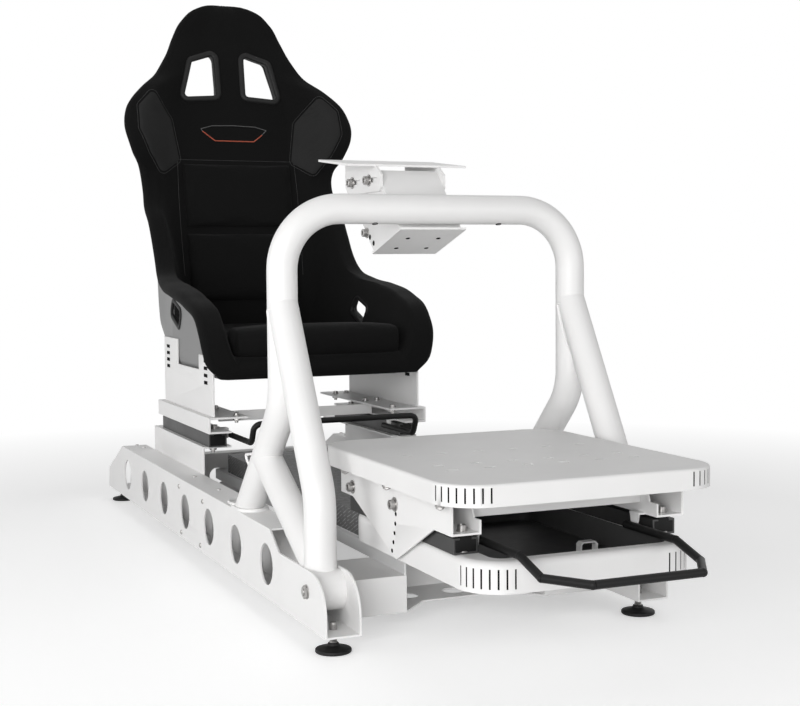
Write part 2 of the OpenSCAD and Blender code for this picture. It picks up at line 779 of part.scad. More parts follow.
// Pedal tray: a rounded tray with a skirt and three rows of mounting slots
module pedal_tray() {
  color(white_coat) place() translate([0, tray_l / 2 - tray_front, wedge_top - tray_h + tray_t]) {
    difference() {
      linear_extrude(tray_h) rounded_rect(tray_w, tray_l, tray_r);
      translate([0, 0, -1]) linear_extrude(tray_h - tray_t + 1)
        rounded_rect(tray_w - 2 * tray_t, tray_l - 2 * tray_t, tray_r - tray_t);
      translate([0, tray_front - tray_l / 2, tray_h - tray_t - 1]) linear_extrude(tray_t + 2) pedal_slots();
    }
  }
}

module pedal_slots() {
  for (x = [slot_inner_x, slot_middle_x, slot_outer_x]) for (s = [-1, 1])
    for (y = [0, slot_middle_pitch, slot_front_pitch])
      translate([s * x / 2, slot_rear_y - y]) slot(slot_l, slot_w);
}

// Pedal release handle: a bar through the corner points, hinged between the two ears
module pedal_release_handle() {
  upper_y = pedal_hinge_y - pedal_arm_l;
  lower_y = upper_y - pedal_drop_l;
  low_z = pedal_bar_z - pedal_drop_h;
  right_half = [[pedal_arm_x, pedal_hinge_y + bar_d, pedal_bar_z], [pedal_arm_x, upper_y, pedal_bar_z],
    [pedal_arm_x, lower_y, low_z], [pedal_grip_w / 2, lower_y - pedal_grip_l, low_z]];
  left_half = [for (i = [len(right_half) - 1 : -1 : 0]) [-right_half[i].x, right_half[i].y, right_half[i].z]];
  color(black_coat) place() {
    bar_path(concat(right_half, left_half), bar_d);
    for (side = [LEFT, RIGHT]) mirror([side, 0, 0]) hinge_pin(pedal_arm_x, pedal_hinge_y, pedal_bar_z);
  }
}

// Wheel channel: a web welded against the back of the hoop's tube, with two side flanges
web_dir = [cos(web_angle), sin(web_angle)];
web_normal = [sin(web_angle), -cos(web_angle)];
web_touch = [hoop_y, hoop_z] + web_normal * (tube_r + seat_gap);
web_foot = web_touch - web_dir * 20;
web_head = web_foot + web_dir * web_l;
web_corner = web_foot + web_normal * mount_t;
plate_dir = [cos(lower_plate_angle), -sin(lower_plate_angle)];
plate_lead = 15;
plate_head = web_corner - plate_dir * plate_lead;
clamp_z = hoop_z + deck_bolt_rise;
clamp_y = [hoop_y + deck_bolt_y, hoop_y + deck_bolt_y + deck_bolt_pitch];
module wheel_channel() {
  rear_y = clamp_y[1] + 3 * deck_bolt_d;
  color(white_coat) place() {
    from_side(-channel_w / 2, channel_w)
      polygon([web_foot, web_head, web_head + web_normal * mount_t, web_corner]);
    for (side = [LEFT, RIGHT]) mirror([side, 0, 0]) difference() {
      from_side(channel_w / 2 - mount_t, mount_t) polygon([web_foot, web_head, [rear_y, web_head.y],
        [rear_y, clamp_z - 2 * deck_bolt_d], web_corner + plate_dir * (lower_plate_l - plate_lead),
        web_corner]);
      for (y = clamp_y) clamp_hole(y, clamp_z);
    }
  }
}

module clamp_hole(y, z) {
  translate([channel_w / 2 - mount_t - 1, y, z]) rotate([0, 90, 0])
    cylinder(d = deck_bolt_d + 2 * bolt_gap, h = mount_t + 2);
}

// Lower plate: a folded plate with four holes under the wheel channel
module wheel_lower_plate() {
  color(white_coat) place() {
    translate([0, plate_head.x, plate_head.y]) rotate([-lower_plate_angle, 0, 0]) difference() {
      translate([-channel_w / 2 - mount_t, 0, -mount_t])
        cube([channel_w + 2 * mount_t, lower_plate_l, mount_t]);
      for (x = [-1, 1]) for (y = [0.35, 0.75]) translate([x * channel_w / 4, y * lower_plate_l, -mount_t - 1])
        cylinder(d = deck_bolt_d, h = mount_t + 2);
    }
  }
}

// Wheel deck: a tilted plate on two slotted side brackets that slide on the clamp bolts
deck_front = [hoop_y + deck_y, hoop_z + deck_rise];
bracket_x = channel_w / 2 + seat_gap;
module wheel_deck() {
  slot_r = deck_bolt_d / 2 + bolt_gap;
  rear = deck_front + deck_l * [cos(deck_tilt), sin(deck_tilt)];
  bottom_z = deck_front.y - deck_bracket_h;
  corner = deck_bracket_h / 3;
  sink = [0, mount_t / 2];
  color(white_coat) place() {
    translate([0, deck_front.x, deck_front.y]) rotate([deck_tilt, 0, 0])
      translate([-deck_w / 2, 0, 0]) cube([deck_w, deck_l, mount_t]);
    for (side = [LEFT, RIGHT]) mirror([side, 0, 0])
      from_side(bracket_x, mount_t) difference() {
        polygon([deck_front + sink, deck_front - [deck_bracket_front, corner],
          [deck_front.x - deck_bracket_front, bottom_z + corner / 2],
          [deck_front.x - deck_bracket_front + corner / 2, bottom_z],
          [rear.x - corner, bottom_z], [rear.x, bottom_z + corner], rear + sink]);
        for (y = clamp_y) translate([y + slot_r - deck_slot_l / 2, clamp_z]) slot(deck_slot_l, 2 * slot_r);
      }
  }
}

// Clamp bolts of the wheel deck
module wheel_clamp_bolts() {
  head_h = deck_bolt_d * 0.8;
  color(zinc) place() for (side = [LEFT, RIGHT]) mirror([side, 0, 0]) for (y = clamp_y)
    translate([channel_w / 2 - mount_t, y, clamp_z]) rotate([0, 90, 0]) {
      translate([0, 0, -head_h]) cylinder(d = deck_bolt_d * 1.7, h = head_h, $fn = 6);
      cylinder(d = deck_bolt_d, h = 2 * mount_t + 2 * seat_gap);
      translate([0, 0, 2 * mount_t + 2 * seat_gap]) cylinder(d = deck_bolt_d * 2, h = head_h);
    }
}

// Seat base brackets: a plate on the beam's inner face with a flange for the rail
seat_base_top = beam_top + seat_base_rise;
base_x = beam_in_x;
seat_rail_x = base_x - rail_inset - rail_w;
seat_handle_x = seat_rail_x - seat_handle_inset;
seat_base_dip = 50;
module seat_base(side) {
  color(white_coat) sided(side) {
    difference() {
      translate([base_x - bracket_t, seat_base_y, beam_top - seat_base_dip])
        cube([bracket_t, seat_base_l, seat_base_rise + seat_base_dip]);
      translate([0, rear_cross_y - seat_gap, 0])
        cube([beam_x, rear_cross_l + 2 * seat_gap, beam_z + rear_cross_h + seat_gap]);
    }
    translate([base_x - base_flange_w, seat_base_y, seat_base_top - bracket_t])
      cube([base_flange_w, seat_base_l, bracket_t]);
  }
}

module seat_rail(side) {
  color(black_coat) sided(side) translate([seat_rail_x, 0, seat_base_top])
    from_front(seat_rail_y, seat_rail_l) rail_section(seat_rail_h);
}

module seat_slider(side) {
  color(black_coat) sided(side) translate([seat_rail_x, 0, seat_base_top])
    from_front(seat_rail_y, seat_rail_l) slider_section(seat_rail_h);
}

// Box brackets on the seat sliders: a floor, an outer wall and a top flange
box_z = seat_base_top + seat_rail_h + slide_rise;
box_top = box_z + box_h;
module seat_bracket(side) {
  color(white_coat) sided(side) {
    translate([seat_rail_x, box_y, box_z]) cube([base_x - seat_rail_x, box_l, bracket_t]);
    translate([base_x - bracket_t, box_y, box_z]) cube([bracket_t, box_l, box_h]);
    translate([base_x - box_flange_w, box_y, box_top - bracket_t]) cube([box_flange_w, box_l, bracket_t]);
    hinge_ear(seat_handle_x + bar_r + seat_gap, seat_pin_y, seat_bar_z, box_z, bracket_t, seat_rail_x);
  }
}

// Seat side plates: a front and a rear upright on the box bracket, with vent slots
side_plate_x = base_x - side_plate_inset;
module seat_side_plate(side) {
  rear_y = box_y + box_l - 20;
  front = box_y + 10;
  color(white_coat) sided(side) translate([0, 0, box_top]) difference() {
    from_side(side_plate_x - bracket_t, bracket_t) polygon([[front, 0], [rear_y, 0], [rear_y, side_plate_h],
      [rear_y - rear_upright_l, side_plate_h], [rear_y - rear_upright_l, side_plate_base_h],
      [front + front_upright_l, side_plate_base_h], [front + front_upright_l, front_upright_h],
      [front, front_upright_h]]);
    for (i = [0 : 3]) {
      vent(rear_y - 50, side_plate_h - 24 - i * 15);
      vent(front + 40, front_upright_h - 15 - i * 15);
    }
  }
}

module vent(y, z) {
  translate([side_plate_x - bracket_t - 1, y, z]) cube([bracket_t + 2, 26, 7]);
}

// Cross bar that ties the two box brackets together
module seat_cross_bar() {
  x = base_x - box_flange_w + 20;
  color(white_coat) place() translate([-x, box_y + cross_bar_y, box_top - bracket_t - cross_bar_h])
    cube([2 * x, bracket_t, cross_bar_h]);
}

// Seat release handle: a bar hinged under the box brackets, with a raised front
seat_bar_z = box_z - bar_r - 6;
seat_pin_y = box_y + seat_hinge_y;
module seat_release_handle() {
  lean = seat_handle_rise / 2;
  slope = atan2(seat_handle_rise, lean);
  corner_cut = bar_bend_r;
  slope_cut = bar_bend_r * tan(slope / 2);
  color(black_coat) place() for (side = [LEFT, RIGHT]) mirror([side, 0, 0]) {
    translate([0, box_y - seat_handle_reach, seat_bar_z + seat_handle_rise]) rotate([90, 0, 90])
      run(seat_handle_x - corner_cut, bar_d)
      turn(bar_bend_r, 90, -slope, bar_d)
      run(norm([lean, seat_handle_rise]) - corner_cut - slope_cut, bar_d)
      turn(bar_bend_r, slope, 90, bar_d)
      run(seat_handle_reach + seat_hinge_y - lean - slope_cut + bar_d, bar_d);
    hinge_pin(seat_handle_x, seat_pin_y, seat_bar_z);
  }
}

// Seat outlines. The front view gives half widths by height above the seat's underside
seat_z = beam_top + seat_rise;
k = seat_h / 895;
shoulder = shoulder_w / 2;
waist = waist_w / 2;
thigh = thigh_w / 2;
function back_y(z) = seat_y + seat_depth + z * tan(recline);
seat_outline = [[thigh - 30, 0], [thigh, 60 * k], [thigh, 120 * k], [thigh + 6, 165 * k],
  [thigh + 4, 195 * k], [waist + 8, 225 * k], [waist + 3, 270 * k], [waist + 2, 385 * k],
  [waist, 425 * k], [waist + 5, 465 * k], [shoulder - 16, 505 * k], [shoulder - 4, 545 * k],
  [shoulder, 575 * k], [shoulder - 2, 605 * k], [shoulder - 17, 635 * k], [shoulder * 0.818, 675 * k],
  [shoulder * 0.657, 715 * k], [shoulder * 0.57, 755 * k], [shoulder * 0.49, 805 * k],
  [shoulder * 0.399, 850 * k], [shoulder * 0.294, 880 * k], [shoulder * 0.168, seat_h]];
rim_side = k * [[0, 55], [8, 85], [28, 105], [48, 125], [88, 145], [138, 163], [288, 195], [398, 225],
  [438, 265], [468, 305], [498, 345], [538, 385], [566, 425], [576, 455], [552, 495], [540, 535],
  [548, 575], [560, 605], [572, 635], [602, 675], [636, 705]];
rim_top = rim_side[len(rim_side) - 1].y;

module seat_front_view() {
  polygon(concat(seat_outline,
    [for (i = [len(seat_outline) - 1 : -1 : 0]) [-seat_outline[i].x, seat_outline[i].y]]));
}

module seat_side_view() {
  polygon(concat([for (p = rim_side) [seat_y + p.x, p.y]],
    [[back_y(rim_top), rim_top], [back_y(cushion_h), cushion_h], [back_y(0) - cushion_h / 5, 0],
      [seat_y + cushion_h / 8, 0]]));
}

// Backrest slab between two depths behind the occupant's surface, tilted with the backrest
module back_slab(d0, d1, z0, z1) {
  polygon([[back_y(z0) + d0, z0], [back_y(z1) + d0, z1], [back_y(z1) + d1, z1], [back_y(z0) + d1, z0]]);
}

module harness_slots(w) {
  for (s = [-1, 1]) polygon([[s * (harness_x - w), harness_z - w],
    [s * (harness_x - w), harness_z + slot_h + w],
    [s * (harness_x + harness_w * 0.6 + w), harness_z + slot_h * 0.84 + w],
    [s * (harness_x + harness_w + w), harness_z + w], [s * (harness_x + harness_w), harness_z - w]]);
}

module lap_hole() {
  translate([seat_y + lap_y, lap_z]) polygon([[-lap_l / 2, 0], [0, -lap_l * 0.42], [lap_l / 2, 0],
    [0, lap_l * 0.42]]);
}

shell_x = side_plate_x - bracket_t - seat_gap;
shell_side = k * [[20, 60], [150, 140], [300, 175], [400, 205], [510, 370], [618, 455]];
shell_front_y = seat_y + shell_side[0].x;
shell_side_h = shell_side[len(shell_side) - 1].y;
bolster_under = k * [[60, 56], [150, 100], [300, 150], [400, 180], [500, 340], [560, 430]];
function at_seat(points, gap) = [for (p = points) [seat_y + p.x, p.y + gap]];
pad_gap = seat_gap;
module seat_shell() {
  color(shell_grey) place() translate([0, 0, seat_z]) difference() {
    union() {
      intersection() {
        from_side(-shoulder_w, 2 * shoulder_w) back_slab(back_pad_t, back_pad_t + shell_t, 0, seat_h);
        from_front(seat_y, seat_h) seat_front_view();
      }
      from_side(-shell_x, 2 * shell_x) polygon([[shell_front_y, 0], [back_y(0) + back_pad_t, 0],
        [back_y(0) + back_pad_t + shell_t, shell_t], [shell_front_y, shell_t]]);
      for (side = [LEFT, RIGHT]) mirror([side, 0, 0]) difference() {
        from_side(shell_x - shell_t, shell_t) polygon(concat(at_seat(shell_side, 0),
          [[back_y(shell_side_h) + back_pad_t + shell_t, shell_side_h],
          [back_y(0) + back_pad_t + shell_t, 0], [shell_front_y, 0]]));
        from_side(shell_x - shell_t - 1, shell_t + 2) lap_hole();
      }
    }
    from_front(seat_y, seat_h) harness_slots(0);
  }
}

module back_pad() {
  color(fabric) place() translate([0, 0, seat_z])
    from_side(-cushion_w / 2, cushion_w) back_slab(0, back_pad_t - pad_gap, cushion_h + 22, harness_z - 22);
}

module headrest_pad() {
  color(fabric) place() translate([0, 0, seat_z]) intersection() {
    from_side(-shoulder_w, 2 * shoulder_w)
      back_slab(back_pad_t - head_pad_t, back_pad_t - pad_gap, harness_z - 22 + pad_gap, seat_h);
    from_front(seat_y, seat_h) difference() {
      seat_front_view();
      harness_slots(0);
      for (side = [LEFT, RIGHT]) mirror([side, 0, 0])
        translate([cushion_w / 2, harness_z - 30]) square([200, 75]);
    }
  }
}

module seat_cushion() {
  color(fabric) place() translate([0, 0, seat_z])
    from_side(-cushion_w / 2, cushion_w) polygon([[seat_y, 30], [seat_y, cushion_h - 24],
      [seat_y + 10, cushion_h - 6], [seat_y + 34, cushion_h], [seat_y + 240, cushion_h - 14],
      [back_y(cushion_h) - 40, cushion_h - 26], [back_y(cushion_h + 21.7), cushion_h + 21.7],
      [back_y(shell_t) + back_pad_t - pad_gap, shell_t + pad_gap], [seat_y + 16, shell_t + pad_gap]]);
}

module side_bolster(side) {
  inner = cushion_w / 2 + pad_gap;
  far_y = seat_y + seat_h;
  near_y = seat_y - cushion_h;
  color(fabric) sided(side) translate([0, 0, seat_z]) difference() {
    intersection() {
      from_side(inner, shoulder_w) seat_side_view();
      from_front(near_y, seat_h) seat_front_view();
      from_side(inner, shoulder_w) polygon([[near_y, shell_t + pad_gap], [near_y, seat_h],
        [back_y(seat_h) + back_pad_t - pad_gap, seat_h],
        [back_y(shell_t) + back_pad_t - pad_gap, shell_t + pad_gap]]);
    }
    from_side(shell_x - shell_t - pad_gap, shell_t + 2 * pad_gap)
      polygon(concat(at_seat(shell_side, pad_gap), [[far_y, shell_side_h + pad_gap], [far_y, -1],
        [near_y, -1], [near_y, shell_side[0].y + pad_gap]]));
    from_side(shell_x - pad_gap, thigh_w) polygon(concat(at_seat(bolster_under, 0),
      [[far_y, bolster_under[len(bolster_under) - 1].y], [far_y, -1], [near_y, -1],
      [near_y, bolster_under[0].y]]));
    from_side(0, shoulder_w) lap_hole();
  }
}

side_beam(RIGHT);  // side_beam_right
side_beam(LEFT);  // side_beam_left
foot(RIGHT, front_foot_y);  // front_foot_right
foot(LEFT, front_foot_y);  // front_foot_left
foot(RIGHT, rear_foot_y);  // rear_foot_right
foot(LEFT, rear_foot_y);  // rear_foot_left
hoop();
front_leg(RIGHT);  // front_leg_right
front_leg(LEFT);  // front_leg_left
cross_brace(RIGHT);  // cross_brace_right
cross_brace(LEFT);  // cross_brace_left
leg_pivot_bolts();
front_cross_member();
rear_cross_member();
centre_tunnel();
tray_riser();
lower_pedal_tray();
pedal_rail(RIGHT);  // pedal_rail_right
pedal_rail(LEFT);  // pedal_rail_left
pedal_slider(RIGHT);  // pedal_slider_right
pedal_slider(LEFT);  // pedal_slider_left
pedal_side_plate(RIGHT);  // pedal_side_plate_right
pedal_side_plate(LEFT);  // pedal_side_plate_left
pedal_cross_plate();
pedal_tray();
pedal_release_handle();
wheel_channel();
wheel_lower_plate();
wheel_deck();
wheel_clamp_bolts();
seat_base(RIGHT);  // seat_base_right
seat_base(LEFT);  // seat_base_left
seat_rail(RIGHT);  // seat_rail_right
seat_rail(LEFT);  // seat_rail_left
seat_slider(RIGHT);  // seat_slider_right
seat_slider(LEFT);  // seat_slider_left
seat_bracket(RIGHT);  // seat_bracket_right
seat_bracket(LEFT);  // seat_bracket_left
seat_side_plate(RIGHT);  // seat_side_plate_right
seat_side_plate(LEFT);  // seat_side_plate_left
seat_cross_bar();
seat_release_handle();
seat_shell();
back_pad();
headrest_pad();
seat_cushion();
side_bolster(RIGHT);  // side_bolster_right
side_bolster(LEFT);  // side_bolster_left
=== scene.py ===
import bpy
import bmesh
import json
import math
import numpy as np
from contextlib import contextmanager
from mathutils import Matrix, Vector
from mathutils.bvhtree import BVHTree


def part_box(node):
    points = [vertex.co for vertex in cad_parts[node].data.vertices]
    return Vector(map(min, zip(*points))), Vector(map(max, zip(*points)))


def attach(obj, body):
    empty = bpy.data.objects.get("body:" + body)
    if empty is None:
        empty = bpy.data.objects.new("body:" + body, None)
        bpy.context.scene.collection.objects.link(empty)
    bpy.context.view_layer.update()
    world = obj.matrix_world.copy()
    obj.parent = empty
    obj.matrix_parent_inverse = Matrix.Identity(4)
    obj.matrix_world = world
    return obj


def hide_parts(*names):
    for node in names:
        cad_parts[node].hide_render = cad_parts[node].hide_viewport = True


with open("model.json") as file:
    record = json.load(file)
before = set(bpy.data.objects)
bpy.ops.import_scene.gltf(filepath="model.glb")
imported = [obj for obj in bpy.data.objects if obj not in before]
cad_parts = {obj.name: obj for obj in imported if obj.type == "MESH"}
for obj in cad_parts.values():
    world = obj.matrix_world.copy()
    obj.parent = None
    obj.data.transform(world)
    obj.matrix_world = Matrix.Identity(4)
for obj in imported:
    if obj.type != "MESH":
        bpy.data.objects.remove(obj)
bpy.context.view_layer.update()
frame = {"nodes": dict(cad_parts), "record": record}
bodyOf = {n: body for body, names in frame["record"]["behaviour"]["bodies"].items() for n in names}
slotOf = {s["node"]: s["material_slot"] for s in frame["record"]["subparts"]}
midLength = 588.35  # from the front end of the beams back to the origin, in mm
bothSides = (-1, 1)


def at(x, y, z):  # mm, with y measured back from the front end of the beams
    return Vector((x / 1000, (y - midLength) / 1000, z / 1000))


# Shader maths: a socket that takes part in Python expressions
class Sock:
    def __init__(self, shade, socket):
        self.shade = shade
        self.socket = socket

    def maths(self, operation, other=0.0, swap=False):
        pair = (other, self) if swap else (self, other)
        return self.shade.add("ShaderNodeMath", {"operation": operation}, {0: pair[0], 1: pair[1]})

    def __add__(self, other):
        return self.maths("ADD", other)

    def __mul__(self, other):
        return self.maths("MULTIPLY", other)

    def __sub__(self, other):
        return self.maths("SUBTRACT", other)

    def __rsub__(self, other):
        return self.maths("SUBTRACT", other, True)

    def __gt__(self, other):
        return self.maths("GREATER_THAN", other)

    __radd__ = __add__
    __rmul__ = __mul__


class Nodes:
    def __init__(self, owner):
        owner.use_nodes = True
        self.tree = owner.node_tree

    def add(self, kind, settings=None, values=None, out=0):
        node = self.tree.nodes.new(kind)
        for key, value in (settings or {}).items():
            if key == "stops":
                ramp = node.color_ramp.elements
                while len(ramp) < len(value):
                    ramp.new(0.5)
                for element, (place, tone) in zip(ramp, value):
                    element.position = place
                    element.color = (tone, tone, tone, 1)
            else:
                setattr(node, key, value)
        for key, value in (values or {}).items():
            if isinstance(value, Sock):
                self.tree.links.new(value.socket, node.inputs[key])
            else:
                node.inputs[key].default_value = value
        return Sock(self, node.outputs[out])

    def link(self, sock, node, key):
        self.tree.links.new(sock.socket, self.tree.nodes[node].inputs[key])

    def seenDirectly(self):  # 1 where the camera, a reflection or glass looks at the surface
        rays = self.add("ShaderNodeLightPath").socket.node.outputs
        camera, glossy, glass = (Sock(self, rays[n]) for n in
                                 ("Is Camera Ray", "Is Glossy Ray", "Is Transmission Ray"))
        return camera.maths("MAXIMUM", glossy).maths("MAXIMUM", glass)


class Shade(Nodes):
    def __init__(self, name, **constants):
        self.material = bpy.data.materials.new(name)
        super().__init__(self.material)
        self.surface = self.tree.nodes["Principled BSDF"]
        for key, value in constants.items():
            self.surface.inputs[key.replace("_", " ")].default_value = value

    def place(self, stretch=(1, 1, 1)):
        spot = self.add("ShaderNodeTexCoord", out="Object")
        return self.add("ShaderNodeMapping", None, {"Vector": spot, "Scale": stretch})

    def noise(self, scale, detail=2.0, stretch=(1, 1, 1)):
        return self.add("ShaderNodeTexNoise", None,
                        {"Vector": self.place(stretch), "Scale": scale, "Detail": detail})

    def ramp(self, value, *stops):
        return self.add("ShaderNodeValToRGB", {"stops": stops}, {"Fac": value})

    def mix(self, factor, first, second):
        return self.add("ShaderNodeMix", {"data_type": "RGBA"}, {0: factor, 6: first, 7: second}, 2)

    def axes(self, stretch=(1, 1, 1)):
        parts = self.add("ShaderNodeSeparateXYZ", None, {0: self.place(stretch)}).socket.node.outputs
        return [Sock(self, part) for part in parts]

    def bump(self, height, strength, distance):
        return self.add("ShaderNodeBump", None,
                        {"Height": height, "Strength": strength, "Distance": distance})

    def feed(self, **links):
        for key, value in links.items():
            self.link(value, "Principled BSDF", key.replace("_", " "))
        return self.material


def grey(tone, tint=0.0):
    return (tone, tone * (1 - tint / 2), tone * (1 - tint), 1)


def powderCoat(name, tone, rough, peel=0.10, tint=0.012, shine=0.45):
    s = Shade(name, Specular_IOR_Level=shine)
    cloud = s.ramp(s.noise(7, 3), (0.35, 0.0), (0.7, 1.0))
    fine = s.noise(850, 1)
    colour = s.mix(cloud, grey(tone * 0.965, tint), grey(tone, tint))
    colour = s.mix((fine > 0.62) * 0.12, colour, grey(tone * 0.86, tint))
    return s.feed(Base_Color=colour, Roughness=s.noise(45, 3) * 0.14 + rough,
                  Normal=s.bump(fine * 0.7 + s.noise(240, 1) * 0.3, peel, 0.0004))


def treadCoat(name, tone, plain, treadFrom=0.1165):  # raised diagonal tread above a height, plain below
    s = Shade(name, Specular_IOR_Level=0.4)
    x, y, z = s.axes()
    wobble = s.noise(34, 3) * 5.5
    strokes = ((x + z) * 900 + y * 420 + wobble).maths("SINE")
    ridge = s.ramp(strokes * s.ramp(s.noise(90, 2), (0.35, 0.0), (0.6, 1.0)), (0.2, 0.0), (0.8, 1.0))
    treaded = z > treadFrom
    height = ridge * treaded
    colour = s.mix(ridge, grey(tone * 0.6), grey(tone * 1.4))
    colour = s.mix(treaded, grey(plain), colour)
    return s.feed(Base_Color=colour, Roughness=s.noise(50) * 0.2 + 0.4, Normal=s.bump(height, 0.5, 0.0007))


def brushedSteel(name, tone, rough, grain=(900, 9, 900)):
    s = Shade(name, Metallic=0.85)
    lines = s.noise(1, 3, grain)
    cloud = s.noise(24, 3)
    colour = s.mix(lines, grey(tone * 0.72), grey(tone * 1.15))
    return s.feed(Base_Color=colour, Roughness=lines * 0.12 + cloud * 0.14 + rough,
                  Normal=s.bump(lines, 0.08, 0.0003))


def zincPlate(name, tone=0.44):
    s = Shade(name, Metallic=1.0)
    cloud = s.noise(160, 3)
    return s.feed(Base_Color=s.mix(cloud, grey(tone * 0.82, 0.03), grey(tone, 0.05)),
                  Roughness=cloud * 0.2 + 0.2, Normal=s.bump(s.noise(1400, 1), 0.06, 0.0002))


def knitCloth(name, tone, pitch, depth, hole=0.0):
    s = Shade(name, Sheen_Weight=0.03, Sheen_Roughness=0.4, Specular_IOR_Level=0.10)
    x, y, z = s.axes()
    turn = 2 * math.pi / pitch
    across = ((x * turn) + s.noise(300, 1) * 1.3).maths("SINE")
    along = ((z + y * 0.8) * turn).maths("SINE")
    weave = s.ramp(across * along * 0.5 + 0.5, (0.28, 0.0), (0.72, 1.0))
    fluff = s.noise(14, 4)
    colour = s.mix(weave, grey(tone * (0.55 - hole * 0.4)), grey(tone * 1.25))
    colour = s.mix(fluff * 0.35, colour, grey(tone * 1.6))
    return s.feed(Base_Color=colour, Roughness=fluff * 0.1 + 0.82,
                  Normal=s.bump(weave * 0.8 + s.noise(2200, 1) * 0.4, 0.35, depth))


def mouldedPlastic(name, tone, rough, pebble=1500, depth=0.0003, shine=0.4):
    s = Shade(name, Specular_IOR_Level=shine)
    grain = s.noise(pebble, 2)
    cloud = s.noise(12, 3)
    colour = s.mix(cloud, grey(tone * 0.9), grey(tone * 1.06))
    return s.feed(Base_Color=colour, Roughness=grain * 0.12 + cloud * 0.1 + rough,
                  Normal=s.bump(grain, 0.16, depth))


def yarn(name, tone, tint=(1, 1, 1)):
    s = Shade(name, Sheen_Weight=0.2)
    ply = s.noise(2600, 1)
    dark = tuple(tone * 0.6 * t for t in tint) + (1,)
    light = tuple(tone * 1.1 * t for t in tint) + (1,)
    return s.feed(Base_Color=s.mix(ply, dark, light), Roughness=ply * 0.1 + 0.6,
                  Normal=s.bump(ply, 0.3, 0.0004))


whiteCoat = powderCoat("whitePowderCoat", 0.80, 0.33)
trayCoat = powderCoat("trayPowderCoat", 0.76, 0.42, 0.22)
treadFinish = treadCoat("treadPowderCoat", 0.20, 0.72)
blackCoat = powderCoat("blackPowderCoat", 0.0060, 0.42, 0.12, 0.0, 0.20)
# Dark grey coat for the lower tray's pocket: painted shade, standing in for the shadow inside the pocket.
pocketPaintedShade = powderCoat("pocketPaintedShade", 0.060, 0.5, 0.2, 0.0, 0.3)
# Near-black for the cups in holes and vents: painted shade for the dark inside of each hole.
holeShadeBlack = powderCoat("holeShadeBlack", 0.004, 0.6, 0.1, 0.0, 0.1)
railFinish = brushedSteel("railSteel", 0.075, 0.36)
blackRail = powderCoat("blackRail", 0.006, 0.40, 0.08, 0.0, 0.14)
zinc = zincPlate("zincPlate")
footPlastic = mouldedPlastic("footPlastic", 0.007, 0.42, 900, shine=0.2)
shellFinish = mouldedPlastic("seatShell", 0.19, 0.36, 700)
bezelPlastic = mouldedPlastic("slotBezel", 0.010, 0.40, 1100, shine=0.20)
seatCloth = knitCloth("seatCloth", 0.0042, 0.0017, 0.0005)
cushionCloth = knitCloth("cushionCloth", 0.0047, 0.0021, 0.0006)
airMesh = knitCloth("shoulderMesh", 0.026, 0.0034, 0.0011, 0.9)
blackThread = yarn("blackThread", 0.016)
accentThread = yarn("accentPiping", 0.42, (1.0, 0.16, 0.06))
greyThread = yarn("greyPiping", 0.085)
print("materials ready")


# Mesh making
class Mould:
    def __init__(self):
        self.points = []
        self.faces = []

    def add(self, points, faces):
        start = len(self.points)
        self.points += [Vector(p) for p in points]
        self.faces += [tuple(start + i for i in f) for f in faces]

    def rings(self, rings, closed=False):  # rings of equal length, capped at both ends unless closed
        count = len(rings[0])
        faces = []
        last = len(rings) if closed else len(rings) - 1
        for r in range(last):
            a, b = r * count, (r + 1) % len(rings) * count
            faces += [(a + i, a + (i + 1) % count, b + (i + 1) % count, b + i) for i in range(count)]
        if not closed:
            faces.append(tuple(reversed(range(count))))
            faces.append(tuple((len(rings) - 1) * count + i for i in range(count)))
        self.add([p for ring in rings for p in ring], faces)

    def turned(self, profile, spot, axis=(0, 0, 1), sides=28):
        # profile: (radius, height) or (radius, height, True) for a hexagonal ring, all in mm
        turn = Vector(axis).to_track_quat("Z", "Y").to_matrix()
        rings = []
        for step in profile:
            ring = []
            for i in range(sides):
                angle = 2 * math.pi * i / sides
                r = max(step[0], 0.01)
                if len(step) > 2:
                    r /= math.cos((angle + math.pi / 6) % (math.pi / 3) - math.pi / 6)
                ring.append(spot + turn @ Vector((r * math.cos(angle), r * math.sin(angle), step[1])) / 1000)
            rings.append(ring)
        self.rings(rings)

    def swept(self, path, radius, sides=20, closed=False):  # path in metres, radius in mm
        rings = []
        side = None
        count = len(path)
        for i, p in enumerate(path):
            ahead = path[(i + 1) % count] if closed or i < count - 1 else p
            behind = path[i - 1] if closed or i > 0 else p
            along = (ahead - behind).normalized()
            if side is None:
                side = along.orthogonal().normalized()
            side = (side - along * side.dot(along)).normalized()
            up = along.cross(side)
            rings.append([p + (side * math.cos(a) + up * math.sin(a)) * radius / 1000
                          for a in (2 * math.pi * k / sides for k in range(sides))])
        self.rings(rings, closed)

    def bare(self, name):  # an undressed piece
        mesh = bpy.data.meshes.new(name)
        mesh.from_pydata([tuple(p) for p in self.points], [], self.faces)
        return placed(name, mesh)

    def make(self, name, material, body, slot, sharp=38, replaced=()):
        return dress(self.bare(name), material, body, slot, sharp, replaced)


def placed(name, data):
    piece = bpy.data.objects.new(name, data)
    bpy.context.scene.collection.objects.link(piece)
    return piece


@contextmanager
def editing(mesh):
    work = bmesh.new()
    work.from_mesh(mesh)
    yield work
    work.to_mesh(mesh)
    work.free()


def turnedOut(mesh):
    with editing(mesh) as work:
        bmesh.ops.recalc_face_normals(work, faces=work.faces)


def dress(piece, material, body, slot, sharp=38, replaced=()):
    mesh = piece.data
    turnedOut(mesh)
    mesh.shade_smooth()
    mesh.set_sharp_from_angle(angle=math.radians(sharp))
    if material:
        mesh.materials.clear()
        mesh.materials.append(material)
    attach(piece, body)
    if replaced:
        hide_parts(*replaced)
    return piece


def baked(piece):  # applies the modifiers
    bpy.context.view_layer.update()
    graph = bpy.context.evaluated_depsgraph_get()
    mesh = bpy.data.meshes.new_from_object(piece.evaluated_get(graph))
    old = piece.data
    piece.modifiers.clear()
    piece.data = mesh
    bpy.data.meshes.remove(old)
    return piece


